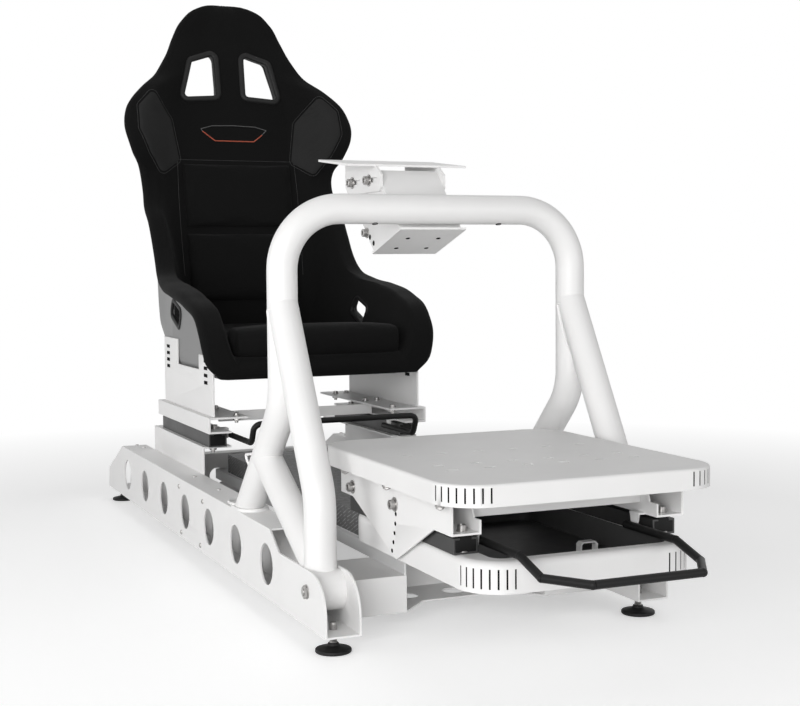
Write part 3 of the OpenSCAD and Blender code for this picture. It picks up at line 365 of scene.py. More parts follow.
def cutBy(piece, cutter):
    tool = cutter.bare("cutter")
    turnedOut(tool.data)
    cut = piece.modifiers.new("cut", "BOOLEAN")
    cut.object = tool
    cut.operation = "DIFFERENCE"
    cut.solver = "EXACT"
    baked(piece)
    bpy.data.objects.remove(tool)


cleaning = {"weld": 2e-6, "flat": 0.6, "foldSharp": 22}  # metres, degrees, degrees


def cleaned(node):  # a copy of the node's own solid, its flat faces merged
    piece = placed(node + "Dressed", frame["nodes"][node].data.copy())
    with editing(piece.data) as work:
        bmesh.ops.remove_doubles(work, verts=work.verts, dist=cleaning["weld"])
        bmesh.ops.dissolve_limit(work, angle_limit=math.radians(cleaning["flat"]), verts=work.verts,
                                 edges=work.edges)
    return piece


def eased(piece, node, material, width, angle):  # rounds off the edges sharper than the angle
    edge = piece.modifiers.new("edge", "BEVEL")
    edge.width = width / 1000
    edge.segments = 2
    edge.limit_method = "ANGLE"
    edge.angle_limit = math.radians(angle)
    baked(piece)
    return dress(piece, material, bodyOf[node], slotOf[node], cleaning["foldSharp"], (node,))


def softened(node, material, width, angle=34):
    return eased(cleaned(node), node, material, width, angle)


def keptSolid(node, material):  # the node's own solid, shown in a finish
    mesh = frame["nodes"][node].data
    mesh.materials.clear()
    mesh.materials.append(material)
    mesh.shade_smooth()


def bothNodes(*names):
    return [name + end for name in names for end in ("_right", "_left")]


# Steel frame
foldWidth = {1.1: bothNodes("side_beam"), 1.0: ["wheel_lower_plate", *bothNodes("seat_base")],
             0.9: ["front_cross_member", "rear_cross_member", "wheel_channel", "wheel_deck", "seat_cross_bar",
                   *bothNodes("seat_bracket", "seat_side_plate")],
             0.8: ["tray_riser", "pedal_cross_plate", *bothNodes("pedal_side_plate")]}
for width, nodes in foldWidth.items():
    for node in nodes:
        softened(node, whiteCoat, width)
softened("centre_tunnel", treadFinish, 1.0)
for node in bothNodes("pedal_rail", "seat_rail"):
    softened(node, railFinish, 0.5)
for node in bothNodes("pedal_slider", "seat_slider"):
    softened(node, blackRail, 0.5)
for node in ("hoop", *bothNodes("front_leg", "cross_brace")):
    keptSolid(node, whiteCoat)
print("sheet metal softened")

tubes = {"radius": 25.4, "legX": 271.3, "legTop": (268.0, 511.7), "legTilt": 30.0, "braceTop": (401.0, 258.0),
         "braceAlong": (0, -0.899, -0.438), "hoopKick": (0, 1, -1), "hoopFoot": (501.8, 157.6)}
weld = {"bead": 2.3, "footBead": 2.8, "footRadius": 26.2, "ripple": 0.012, "steps": 40, "footSteps": 56}


def seam(mould, spot, first, second):  # weld along the half ellipse where two tubes meet
    first, second = Vector(first).normalized(), Vector(second).normalized()
    bisector = (first + second).normalized()
    reach = tubes["radius"] / math.sin(first.angle(second) / 2)
    path = []
    for i in range(weld["steps"] + 1):
        a = math.pi * i / weld["steps"]
        ripple = 1 + weld["ripple"] * math.sin(i * 2.9)
        around = Vector((math.cos(a) * tubes["radius"], 0, 0)) + bisector * reach * math.sin(a)
        path.append(spot + around * ripple / 1000)
    mould.swept(path, weld["bead"], 8)


welds = Mould()
tilt = math.radians(tubes["legTilt"])
for side in bothSides:
    x = side * tubes["legX"]
    for up in (-1, 1):
        seam(welds, at(x, *tubes["legTop"]), (0, -math.sin(tilt), -math.cos(tilt)), (0, 0, up))
        seam(welds, at(x, *tubes["braceTop"]), tubes["braceAlong"], -up * Vector(tubes["hoopKick"]))
    r = weld["footRadius"]
    foot = [at(x, *tubes["hoopFoot"]) + Vector((math.cos(a) * r, math.sin(a) * r * math.sqrt(2), 0)) / 1000
            for a in (2 * math.pi * i / weld["footSteps"] for i in range(weld["footSteps"]))]
    welds.swept(foot, weld["footBead"], 8, True)
welds.make("weldBeads", whiteCoat, "frame", "white_coat")
print("welds laid")

# Pedal trays: rounded rims, and a row of vents round each front corner
pedalTray = {"node": "pedal_tray", "corner": 65.0, "start": 6.0, "vents": (267.5, 288.5), "depth": 9,
             "rimTop": 293.0, "rimRound": 4.5}
lowerTray = {"node": "lower_pedal_tray", "corner": 62.0, "start": 4.0, "vents": (147.5, 175.0), "depth": 13,
             "rimTop": 185.0, "rimRound": 11.0, "pocketMiddle": -24.0, "pocketHalf": (142.5, 214.5),
             "pocketHeights": (144.5, 183.5)}
# The last four sizes shape the dark cups behind the tray vents, which are painted shade.
ventRow = {"count": 8, "pitch": 12.0, "width": 2.6, "past": 6, "shadeCup": 2.3, "shadeCupWall": 0.3,
           "shadeCupFloor": 0.4, "recess": 0.45}


def ventPlaces(tray):  # corner centre, outward and across directions of each vent
    low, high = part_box(tray["node"])
    front = low.y * 1000 + midLength
    for side in bothSides:
        middle = at(side * (high.x * 1000 - tray["corner"]), front + tray["corner"], 0)
        for i in range(ventRow["count"]):
            a = (tray["start"] + i * ventRow["pitch"]) / tray["corner"]
            out = Vector((side * math.sin(a), -math.cos(a), 0))
            yield middle, out, Vector((-out.y, out.x, 0)) * ventRow["width"] / 2000


def cornerVents(tray):
    cutter = Mould()
    for middle, out, across in ventPlaces(tray):
        near = middle + out * (tray["corner"] - tray["depth"]) / 1000
        far = middle + out * (tray["corner"] + ventRow["past"]) / 1000
        corners = [near - across, near + across, far + across, far - across]
        cutter.rings([[c + Vector((0, 0, z / 1000)) for c in corners] for z in tray["vents"]])
    return cutter


def ventShadeCups(mould, tray, gap=0.04):  # dark cup behind each corner vent: painted shade inside the vent
    low, high = tray["vents"]
    deep, wall, recess = ventRow["shadeCup"], ventRow["shadeCupWall"], ventRow["recess"]
    for middle, out, across in ventPlaces(tray):
        loops = []
        for inset, depth in ((gap, deep), (gap, recess), (wall, recess),
                             (wall, deep - ventRow["shadeCupFloor"])):
            c = middle + out * (tray["corner"] - depth) / 1000
            half = across * (1 - 2 * inset / ventRow["width"])
            z0, z1 = Vector((0, 0, (low + inset) / 1000)), Vector((0, 0, (high - inset) / 1000))
            loops.append([c - half + z0, c + half + z0, c + half + z1, c - half + z1])
        mould.rings(loops)


def rounded(tray, material):  # rounds the outer rim first, then cuts the vents and eases every edge
    node = tray["node"]
    piece = cleaned(node)
    low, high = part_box(node)
    middle, corner = (low + high) / 2, tray["corner"] / 1000

    def onOutline(p):
        fromX = max(abs(p.x) - (high.x - corner), 0)
        fromY = max(abs(p.y - middle.y) - (high.y - middle.y - corner), 0)
        return abs(p.z - tray["rimTop"] / 1000) <= 1e-5 and abs(math.hypot(fromX, fromY) - corner) < 4e-4

    with editing(piece.data) as work:
        rim = [e for e in work.edges if all(onOutline(v.co) for v in e.verts)]
        bmesh.ops.bevel(work, geom=rim, offset=tray["rimRound"] / 1000, segments=6, profile=0.5,
                        affect="EDGES", clamp_overlap=True)
    cutBy(piece, cornerVents(tray))
    eased(piece, node, material, 0.6, 50)
    for face in piece.data.polygons:  # large flat faces keep a plain normal
        face.use_smooth = face.area < 0.01
    return piece


rounded(pedalTray, trayCoat)
pan = rounded(lowerTray, trayCoat)
# The pocket's floor and walls take the dark coat, which is painted shade.
pan.data.materials.append(pocketPaintedShade)
reach = Vector(lowerTray["pocketHalf"]) / 1000
under, over = (z / 1000 for z in lowerTray["pocketHeights"])
for face in pan.data.polygons:  # the pocket's floor and walls
    spot = face.center - at(0, lowerTray["pocketMiddle"], 0)
    inside = abs(spot.x) < reach.x and abs(spot.y) < reach.y
    face.material_index = int(inside and under < spot.z < over)

# Small strap on the pocket's floor
strap = {"spot": (95, -92, 144.8), "half": 15.0, "tall": 17.0, "deep": 14.0, "sheet": 2.2, "corner": 4.0}


def strapArch(inset, corner):  # the folded strap's outer or inner line, from foot to foot
    half, tall = strap["half"], strap["tall"]
    arch = [(inset - half, 0), (inset - half, tall - corner), (corner - half, tall - inset)]
    return arch + [(-x, z) for x, z in reversed(arch)]


strapLine = strapArch(0, strap["corner"]) + strapArch(strap["sheet"], strap["corner"] + 1)[::-1]
trayStrap = Mould()
trayStrap.rings([[at(*strap["spot"]) + Vector((x, y, z)) / 1000 for x, z in strapLine]
                 for y in (0, strap["deep"])])
trayStrap.make("trayStrap", whiteCoat, bodyOf["lower_pedal_tray"], slotOf["lower_pedal_tray"], 30)
print("trays rounded and vented")


# Fasteners, merged into one piece for each body: profiles for turning, in mm
def socketBolt(head, tall, key, washer):
    return [(0, -0.4), (washer, -0.4), (washer, 1.1), (washer - 0.5, 1.6), (head, 1.6), (head, tall - 0.7),
            (head - 0.7, tall), (key + 0.5, tall), (key, tall - 0.4, True), (key, tall - 3.6, True),
            (0, tall - 3.6)]


def nut(size, tall, stud, over):
    return [(0, -0.4), (size + 2, -0.4), (size + 2, 1.0), (size + 1.4, 1.4), (size - 0.5, 1.4),
            (size, 2.0, True), (size, tall - 0.6, True), (size - 0.6, tall),
            (stud + 0.3, tall), (stud, tall - 0.3), (stud, tall + over - 0.6),
            (stud - 0.7, tall + over), (0, tall + over)]


def panScrew(head, tall, key):
    return [(0, -0.3), (head, -0.3), (head, 0.5), (head - 0.5, 1.5), (head - 1.7, tall - 0.2),
            (key + 0.4, tall), (key, tall - 0.2, True), (key, tall - 1.4, True), (0, tall - 1.4)]


def post(wide, tall):  # spacer with a thinner end
    return [(0, 0), (wide, 0), (wide, tall - 0.6), (wide - 0.6, tall), (3.0, tall), (3.0, tall + 5.4),
            (2.4, tall + 6), (0, tall + 6)]


# Each kind: profile, body, way it points, sizes, and places on one side
wheelBody = bodyOf["wheel_clamp_bolts"]
bracketHoles = [(176, 864), (176, 1023), (176, 1216), (204, 1023), (204, 1216)]
bolts = {
    "beamSide": (panScrew, "frame", "out", (5.0, 2.6, 2.0),
                 [(300, 863, 135), (300, 681, 132), (300, 849, 43), (300, 702, 43)]),
    "beamTop": (panScrew, "frame", "up", (4.2, 1.6, 1.5),
                [(264, 1413, 152), (258, 1365, 152), (267, 865, 152), (267, 684, 152)]),
    "pivotNut": (nut, "frame", "out", (9.4, 5.8, 5.4, 1.7), [(300, 82, 87)]),
    "pivotBolt": (socketBolt, "frame", "in", (9.0, 9.5, 4.6, 12.5), [(242.6, 82, 87)]),
    "clampBolt": (socketBolt, wheelBody, "out", (7.6, 10.5, 3.8, 10.6),
                  [(62.4, 400.1, 734.5), (62.4, 480.1, 734.5)]),
    "clampNut": (nut, wheelBody, "in", (6.2, 6.0, 3.6, 2.0), [(54, 400.1, 734.5), (54, 480.1, 734.5)]),
    "lowClamp": (socketBolt, "frame", "out", (7.0, 9.5, 3.4, 9.6), [(58, 422, 642)]),
    "plateBolt": (socketBolt, "pedal_carriage", "out", (7.4, 9.4, 3.6, 11.0),
                  [(189, 169, 228), (189, -4, 227)]),
    "plateNut": (nut, "pedal_carriage", "in", (5.6, 5.0, 3.0, 2.0), [(186, 169, 228), (186, -4, 227)]),
    "skirtPost": (post, "pedal_carriage", "down", (5.2, 34.6), [(199, y, 289.2) for y in (-186, 3, 176)]),
    "skirtNut": (nut, "pedal_carriage", "down", (5.4, 4.6, 2.9, 1.6),
                 [(199, y, 254.6) for y in (-186, 3, 176)]),
    "bracketBolt": (socketBolt, "seat_carriage", "up", (5.4, 6.4, 2.4, 7.6),
                    [(x, y, 274) for x, y in bracketHoles]),
    "bracketNut": (nut, "seat_carriage", "down", (7.0, 6.5, 3.8, 4.5),
                   [(x, y, 270) for x, y in bracketHoles]),
    "railNut": (nut, "frame", "down", (6.8, 6.5, 3.8, 5.0), [(213.6, 912, 205), (213.6, 1238, 205)]),
    "sliderBolt": (socketBolt, "seat_carriage", "up", (6.6, 8.0, 3.0, 8.6),
                   [(213.6, 900, 245), (213.6, 1212, 245)]),
    "channelBolt": (socketBolt, "pedal_carriage", "up", (6.2, 9.5, 2.9, 8.0),
                    [(164, -182, 216), (164, 60, 216)]),
    "railEndBolt": (socketBolt, "frame", "up", (5.6, 7.5, 2.6, 8.0), [(164, -184, 188)]),
    "trayNut": (nut, "frame", "down", (5.2, 5.0, 2.9, 3.6), [(165, -4, 141), (165, -59, 141)])}
hardware = {}
for side in bothSides:
    ways = {"out": (side, 0, 0), "in": (-side, 0, 0), "up": (0, 0, 1), "down": (0, 0, -1)}
    for profile, body, way, sizes, places in bolts.values():
        for x, y, z in places:
            hardware.setdefault(body, Mould()).turned(profile(*sizes), at(side * x, y, z), ways[way])
for body, mould in hardware.items():
    nodes = [n for n in ("leg_pivot_bolts", "wheel_clamp_bolts") if bodyOf[n] == body]
    mould.make("fasteners_" + body, zinc, body, "zinc_bolts", 30, nodes)

# Holes: dark cups set in the plates' holes and vents, and in the hoop's two drain holes; the cups are painted
# shade, standing in for the shadow inside each hole
cups = {"lowerPlate": [(29, 305.6, 631.8), (29, 357.1, 615.5)], "plateTilt": (0, -0.3024, -0.9532),
        "arcs": [(58, 408, 634), (58, 391, 623)], "drain": [(-108, 262, 653.3), (125, 262, 653.3)],
        "drainTilt": (0, -0.25, -0.97), "tiltCentre": (189, 169, 228), "tiltReach": 177, "tiltStep": 4.9,
        "tiltCount": 5, "sunk": 2.0}
# Radius, depth and lip of each kind of cup
cupSize = {"plate": (4.0, 3.6), "arc": (4.2, 0.5, 0.6), "tilt": (3.3, 2.8), "drain": (5.0, 4.0)}
tiltTurns = [math.radians(i * cups["tiltStep"]) for i in range(1, cups["tiltCount"] + 1)]


# A dark cup sunk into a hole, painting in the shade inside it.
def cup(body, spot, axis, radius, deep, lip=0.0):
    rim = radius + lip
    cupBins[body].turned([(0, -deep), (rim, -deep), (rim, 0.15), (rim - 0.3, 0.4), (radius - 0.6, 0.4),
                          (radius - 0.9, 0.1), (radius - 0.9, 0.8 - deep), (0, 0.8 - deep)], spot, axis, 20)


plateVents = {"corners": ((1205.2, 398.0), (887.1, 383.0)), "size": (26.0, 7.0), "pitch": 15.0, "count": 4,
              "face": 230.75, "deep": 3.15, "wall": 0.7, "floor": 0.6}


def slotCup(side, y, z, gap=0.05):  # dark cup behind a vent in the seat's side plate: painted shade inside the vent
    face, wall = plateVents["face"], plateVents["wall"]
    loops = []
    for inset, x in ((gap, face - plateVents["deep"]), (gap, face), (wall, face),
                     (wall, face + plateVents["floor"] - plateVents["deep"])):
        y0, z0 = y + inset, z + inset
        y1, z1 = y + plateVents["size"][0] - inset, z + plateVents["size"][1] - inset
        loops.append([at(side * x, *p) for p in ((y0, z0), (y1, z0), (y1, z1), (y0, z1))])
    cupBins["seat_carriage"].rings(loops)


cupBins = {"frame": Mould(), "pedal_carriage": Mould(), "seat_carriage": Mould()}
for side in bothSides:
    for y, z in plateVents["corners"]:
        for i in range(plateVents["count"]):
            slotCup(side, y, z - i * plateVents["pitch"])
    for x, y, z in cups["lowerPlate"]:
        tilt = Vector(cups["plateTilt"])
        cup("frame", at(side * x, y, z) + tilt * cups["sunk"] / 1000, tilt, *cupSize["plate"])
    for x, y, z in cups["arcs"]:
        cup("frame", at(side * x, y, z), (side, 0, 0), *cupSize["arc"])
    for turn in tiltTurns:
        x, y, z = cups["tiltCentre"]
        spot = at(side * x, y - cups["tiltReach"] * math.cos(turn), z - cups["tiltReach"] * math.sin(turn))
        cup("pedal_carriage", spot, (side, 0, 0), *cupSize["tilt"])
for tray in (pedalTray, lowerTray):
    ventShadeCups(cupBins[bodyOf[tray["node"]]], tray)
for spot in cups["drain"]:
    cup("frame", at(*spot), cups["drainTilt"], *cupSize["drain"])
for body, mould in cupBins.items():
    mould.make("holeLinings_" + body, holeShadeBlack, body, "black_coat", 30)
print("fasteners in place")

# Levelling feet: a moulded disc on a threaded stud with a lock nut
foot = {"disc": 28.0, "tall": 6.5, "neck": 9.0, "stud": 6.0, "thread": 0.5, "pitch": 1.75, "top": 46.0,
        "nut": 9.6, "nutLow": 24.4, "nutTop": 31.9, "studFrom": 14.0}
for node in bothNodes("front_foot", "rear_foot"):
    low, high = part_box(node)
    base = Vector(((low.x + high.x) / 2, (low.y + high.y) / 2, 0))
    r, tall, neck, core = foot["disc"], foot["tall"], foot["neck"], foot["stud"] - foot["thread"]
    disc = Mould()
    disc.turned([(0, 0), (r - 3, 0), (r - 1, 0.6), (r, 2.0), (r, tall - 2), (r - 0.8, tall - 0.6),
                 (r - 2.4, tall), (r - 9, tall + 1.7), (neck + 2.5, tall + 2.9), (neck, tall + 4.5),
                 (neck - 0.6, tall + 7.9), (neck - 1.6, tall + 8.7), (0, tall + 8.7)], base, sides=48)
    disc.make(node + "Dressed", footPlastic, bodyOf[node], slotOf[node], 32, (node,))
    top = min(foot["top"], high.z * 1000)
    thread = [(0, foot["studFrom"]), (core, foot["studFrom"])]
    z = foot["studFrom"] + 0.4
    while z < top - 2:
        thread += [(core, z), (foot["stud"], z + foot["pitch"] / 2)]
        z += foot["pitch"]
    stud = Mould()
    stud.turned(thread + [(foot["stud"] - 1, top), (0, top)], base, sides=20)
    bore, wide, under, over = foot["stud"] - 0.4, foot["nut"], foot["nutLow"], foot["nutTop"]
    stud.turned([(bore, under), (wide - 0.6, under), (wide, under + 0.6, True), (wide, over - 0.7, True),
                 (wide - 0.6, over), (bore, over)], base, sides=30)
    stud.make(node + "Stud", zinc, bodyOf[node], "zinc_bolts", 30)
for node in ("pedal_release_handle", "seat_release_handle"):
    keptSolid(node, blackCoat)
print("feet and handles dressed")

# Seat: a foam cover and a moulded shell, lofted through the same stations.
# Each station: spine y, z / half width, rim y, z / shell y, z / rim roll radius / where the bolster
# starts and ends, as shares of the half width
seatLines = [
    (826, 352, 222, 826, 352, 880, 352, 9, 0.74, 0.86),
    (820, 366, 246, 819, 376, 881, 351.6, 12, 0.74, 0.86),
    (821, 380, 256, 817, 410, 883, 351.2, 13, 0.74, 0.86),
    (832, 392, 260, 822, 440, 890, 350.8, 13, 0.74, 0.86),
    (862, 400, 262, 850, 482, 910, 350.5, 14, 0.74, 0.86),
    (940, 402, 267, 940, 521, 965, 350, 14, 0.73, 0.86),
    (1040, 396, 268, 1050, 541, 1050, 350, 14, 0.73, 0.86),
    (1150, 388, 262, 1150, 553, 1150, 350, 13, 0.74, 0.87),
    (1240, 384, 252, 1222, 575, 1245, 350, 13, 0.74, 0.89),
    (1305, 394, 247, 1262, 612, 1325, 354, 12, 0.70, 0.90),
    (1338, 424, 246, 1294, 658, 1376, 380, 12, 0.66, 0.91),
    (1352, 480, 246, 1324, 698, 1388, 450, 12, 0.62, 0.92),
    (1366, 540, 246, 1360, 730, 1402, 528, 12, 0.60, 0.92),
    (1385, 625, 242, 1390, 772, 1426, 613, 12, 0.58, 0.92),
    (1408, 735, 247, 1398, 812, 1460, 723, 12, 0.56, 0.92),
    (1430, 838, 268, 1375, 850, 1482, 826, 13, 0.52, 0.92),
    (1441, 888, 282, 1363, 890, 1493, 876, 13, 0.50, 0.92),
    (1448, 922, 287, 1368, 922, 1500, 911, 13, 0.50, 0.92),
    (1456, 957, 283, 1380, 952, 1507, 947, 13, 0.50, 0.92),
    (1464, 992, 270, 1392, 982, 1515, 982, 13, 0.50, 0.92),
    (1473, 1035, 236, 1420, 1020, 1524, 1026, 12, 0.48, 0.92),
    (1481, 1075, 190, 1458, 1060, 1533, 1066, 12, 0.45, 0.92),
    (1487, 1105, 163, 1472, 1100, 1539, 1096, 12, 0.42, 0.92),
    (1497, 1150, 139, 1488, 1150, 1548, 1142, 12, 0.40, 0.92),
    (1504, 1193, 113, 1494, 1195, 1555, 1184, 11, 0.40, 0.92),
    (1511, 1221, 82, 1504, 1224, 1553, 1212, 10, 0.40, 0.92),
    (1520, 1235, 48, 1517, 1236.5, 1549, 1228, 8, 0.40, 0.92),
    (1530, 1239, 16, 1529, 1239.5, 1544, 1236, 4, 0.40, 0.92)]
seat = {"rows": 210, "across": 52, "sideX": 221.0, "sideInset": 10.0, "thighRadius": 34.0, "backRadius": 98.0,
        "radiusBlend": (1235, 1360), "shellThick": 5.0, "shellGap": 0.3, "puff": 0.9,
        "body": bodyOf["seat_shell"]}


def lofted(table, count):  # smooth curve through the stations, evenly spaced along their length
    points = np.array(table, float)
    step = np.hypot(*(np.diff((points[:, :2] + points[:, 3:5]) / 2, axis=0).T))
    knots = np.concatenate([[0], np.cumsum(step)])
    slope = np.gradient(points, knots, axis=0)
    slope[0], slope[-1] = (points[1] - points[0]) / step[0], (points[-1] - points[-2]) / step[-1]
    rows = []
    for s in np.linspace(0, knots[-1], count):
        k = min(int(np.searchsorted(knots, s, "right")) - 1, len(knots) - 2)
        h = knots[k + 1] - knots[k]
        f = (s - knots[k]) / h
        rows.append((2 * f**3 - 3 * f**2 + 1) * points[k] + (f**3 - 2 * f**2 + f) * h * slope[k]
                    + (3 * f**2 - 2 * f**3) * points[k + 1] + (f**3 - f**2) * h * slope[k + 1])
    return np.array(rows)


def ease(low, high, value):
    f = min(max((value - low) / (high - low), 0.0), 1.0)
    return f * f * (3 - 2 * f)


def outwards(track):  # unit normals of a side-view path, away from the sitter
    run = np.gradient(track, axis=0)
    for _ in range(3):
        run[1:-1] = (run[:-2] + run[1:-1] * 2 + run[2:]) / 4
    run /= np.linalg.norm(run, axis=1)[:, None]
    return np.stack([run[:, 1], -run[:, 0]], axis=1)


lines = lofted(seatLines, seat["rows"])
rimOut = outwards(lines[:, 3:5])
shellOut = outwards(lines[:, 5:7])


def halfUnder(i, grow):  # from under the rim round to the middle of the shell, as (x, y, z)
    row = lines[i]
    rim = row[3:5] + rimOut[i] * 2 * row[7]
    base = row[5:7] + shellOut[i] * grow
    reach = max(np.linalg.norm(base - rim), 1.0)
    side = min(seat["sideX"], row[2] - row[7] - seat["sideInset"], row[2] * 0.86) + grow
    side = max(side, row[2] * 0.3)
    thigh, back = seat["thighRadius"], seat["backRadius"]
    radius = thigh + (back - thigh) * ease(*seat["radiusBlend"], row[5])
    radius = min(radius + grow, side * 0.6, reach * 0.8)
    part = radius / reach
    path = [(side, m) for m in np.linspace(0.03, 1 - part, 8)]
    path += [(side - radius * (1 - math.cos(a)), 1 - part + part * math.sin(a))
             for a in np.linspace(0, math.pi / 2, 8)[1:]]
    path += [(x, 1.0) for x in np.linspace(side - radius, 0, 9)[1:]]
    return [(x, *(rim + (base - rim) * m)) for x, m in path]


def section(i):  # the cover's section, from the spine over one bolster and back over the other
    row = lines[i]
    spine, rim, wide, roll = row[:2], row[3:5], row[2], row[7]
    half = []
    for t in np.linspace(0, 1, seat["across"]):
        w = ease(row[8], row[9], t)
        crown = seat["puff"] * math.sin(math.pi * min(t / max(row[8], 0.1), 1)) ** 2
        half.append((t * (wide - roll), *(spine + (rim - spine) * w - rimOut[i] * crown)))
    centre = rim + rimOut[i] * roll
    for a in np.linspace(0, math.pi, 9)[1:]:
        half.append((wide - roll + roll * math.sin(a), *(centre - rimOut[i] * roll * math.cos(a))))
    half += halfUnder(i, 0)
    return half + mirrored(half[-2:0:-1])


def mirrored(half):
    return [(-x, y, z) for x, y, z in half]


cover = Mould()
cover.rings([[at(*p) for p in section(i)] for i in range(seat["rows"])])
shell = Mould()
shellRows = []
for i in range(seat["rows"]):
    outer, inner = halfUnder(i, seat["shellThick"]), halfUnder(i, -seat["shellGap"])
    ring = outer + mirrored(outer[-2::-1]) + mirrored(inner) + inner[-2::-1]
    shellRows.append([at(*p) for p in ring])
shell.rings(shellRows)

# Openings: two harness slots through the back, a lap belt hole through each bolster
opening = {"harness": [(37, 1005), (121, 999), (97, 1089), (38, 1109)], "harnessRound": 9.0,
           "harnessFlare": 12.0, "slotDepths": (1380, 1474), "flareDepths": (1538, 1640),
           "lap": [(1076, 482), (1094, 448), (1168, 476), (1146, 504)], "lapRound": 9.0, "lapShift": 37.0,
           "lapDepths": (150, 204), "lapShifted": (222, 262)}


def roundedLoop(corners, radius, steps=6):
    loop = []
    count = len(corners)
    for i, c in enumerate(corners):
        c = Vector(c)
        before = (Vector(corners[i - 1]) - c).normalized()
        after = (Vector(corners[(i + 1) % count]) - c).normalized()
        half = before.angle(after) / 2
        centre = c + (before + after).normalized() * radius / math.sin(half)
        first, last = (c + run * radius / math.tan(half) - centre for run in (before, after))
        sweep = first.angle_signed(last)
        start = math.atan2(first.y, first.x)
        loop += [centre + Vector((math.cos(a), math.sin(a))) * radius
                 for a in (start - sweep * k / steps for k in range(steps + 1))]
    return loop


def grown(loop, reach):  # the loop moved outwards in its own plane
    count = len(loop)
    middle = sum(loop, Vector((0, 0))) / count
    result = []
    for i, p in enumerate(loop):
        run = (loop[(i + 1) % count] - loop[i - 1]).normalized()
        out = Vector((run.y, -run.x))
        if out.dot(p - middle) < 0:
            out = -out
        result.append(p + out * reach)
    return result


harnessLoop = roundedLoop(opening["harness"], opening["harnessRound"])
flaredLoop = grown(harnessLoop, opening["harnessFlare"])
lapLoop = roundedLoop(opening["lap"], opening["lapRound"])
shiftedLoop = [p + Vector((opening["lapShift"], 0)) for p in lapLoop]
holes = Mould()
for side in bothSides:
    slot = [(y, harnessLoop) for y in opening["slotDepths"]]
    slot += [(y, flaredLoop) for y in opening["flareDepths"]]
    holes.rings([[at(side * p.x, y, p.y) for p in loop] for y, loop in slot])
    lap = [(x, lapLoop) for x in opening["lapDepths"]] + [(x, shiftedLoop) for x in opening["lapShifted"]]
    holes.rings([[at(side * x, p.x, p.y) for p in loop] for x, loop in lap])
seatCover = cover.make("seatCover", None, seat["body"], "seat_fabric", 60)
seatShell = shell.make("seatShell", None, seat["body"], "seat_shell", 50)
for piece, material, nodes, slot in (
        (seatCover, seatCloth, ("headrest_pad", "side_bolster_right", "side_bolster_left"), "seat_fabric"),
        (seatShell, shellFinish, ("seat_shell",), "seat_shell")):
    cutBy(piece, holes)
    dress(piece, material, seat["body"], slot, 50, nodes)
print("seat lofted", len(seatCover.data.polygons), len(seatShell.data.polygons))


def surface(piece):
    bpy.context.view_layer.update()
    return BVHTree.FromObject(piece, bpy.context.evaluated_depsgraph_get())


coverSkin, shellSkin = surface(seatCover), surface(seatShell)


lookFrom = {"front": 700, "rear": 1700, "above": 620, "outside": 400}  # where rays start


def onFront(x, z):  # where the cover is met from the front
    return coverSkin.ray_cast(at(x, lookFrom["front"], z), Vector((0, 1, 0)))[:2]


def onSide(side, y, z, skin, start):  # from the outside inwards or from the middle outwards
    return skin.ray_cast(at(side * start, y, z), Vector((-side if start else side, 0, 0)))[0]


bezel = {"wide": 13.0, "tall": 4.6, "deep": 16.0, "rearDeep": 5.0, "lapWide": 9.0, "lapDeep": 5.0,
         "reach": 9.0}


def spaced(loop, step=7.0):  # adds points along the straight parts
    points = []
    for k, p in enumerate(loop):
        q = loop[(k + 1) % len(loop)]
        count = max(1, round((q - p).length / step))
        points += [p.lerp(q, i / count) for i in range(count)]
    return points


def bezelRing(mould, loop, place, inward, wide=bezel["wide"], deep=bezel["deep"]):
    # rounded lip that follows the surface, with a collar into the hole
    loop = spaced(loop)
    tall = bezel["tall"] * wide / bezel["wide"]
    profile = [(-1.2, -deep), (-1.2, 0.5), (0.6, tall - 1.0), (wide * 0.26, tall), (wide * 0.6, tall - 0.4),
               (wide * 0.88, tall * 0.52), (wide, -0.6), (wide - 1.2, -3.0), (1.4, -3.0), (1.4, -deep)]
    depth = [place(p) for p in grown(loop, bezel["reach"])]
    known = [d for d in depth if d is not None]
    depth = [d if d is not None else sum(known) / len(known) for d in depth]
    for _ in range(4):
        depth = [(depth[i - 1] + depth[i] * 2 + depth[(i + 1) % len(depth)]) / 4 for i in range(len(depth))]
    tracks = [(grown(loop, out), high) for out, high in profile]
    mould.rings([[inward(track[k], depth[k], high) for track, high in tracks]
                 for k in range(len(loop))], True)


bezels = Mould()
for side in bothSides:
    def frontDepth(p):
        spot, _ = onFront(side * p.x, p.y)
        return spot.y if spot else None

    def backDepth(p):
        spot = shellSkin.ray_cast(at(side * p.x, lookFrom["rear"], p.y), Vector((0, -1, 0)))[0]
        return spot.y if spot else None

    bezelRing(bezels, harnessLoop, frontDepth,
              lambda p, d, h: Vector((side * p.x / 1000, d - h / 1000, p.y / 1000)))
    bezelRing(bezels, flaredLoop, backDepth,
              lambda p, d, h: Vector((side * p.x / 1000, d + h / 1000, p.y / 1000)), deep=bezel["rearDeep"])
    for start, skin, sign, loop in ((0, coverSkin, -1, lapLoop),
                                    (lookFrom["outside"], shellSkin, 1, shiftedLoop)):
        def sideDepth(p):
            spot = onSide(side, p.x, p.y, skin, start)
            return abs(spot.x) if spot else None

        def acrossSide(p, d, h):
            return Vector((side * (d + sign * h / 1000), (p.x - midLength) / 1000, p.y / 1000))

        bezelRing(bezels, loop, sideDepth, acrossSide, bezel["lapWide"], bezel["lapDeep"])
trimSize = {"radius": 3.4, "out": 0.5}
trimStrip = Mould()  # rubber strip where the cover is tucked over the shell's edge
for side in bothSides:
    edge = [halfUnder(i, seat["shellThick"])[0] for i in range(2, seat["rows"] - 2)]
    trimStrip.swept([at(side * (x + trimSize["out"]), y, z) for x, y, z in edge], trimSize["radius"], 10)
trimStrip.make("shellEdgeTrim", bezelPlastic, seat["body"], "foot_plastic", 60)
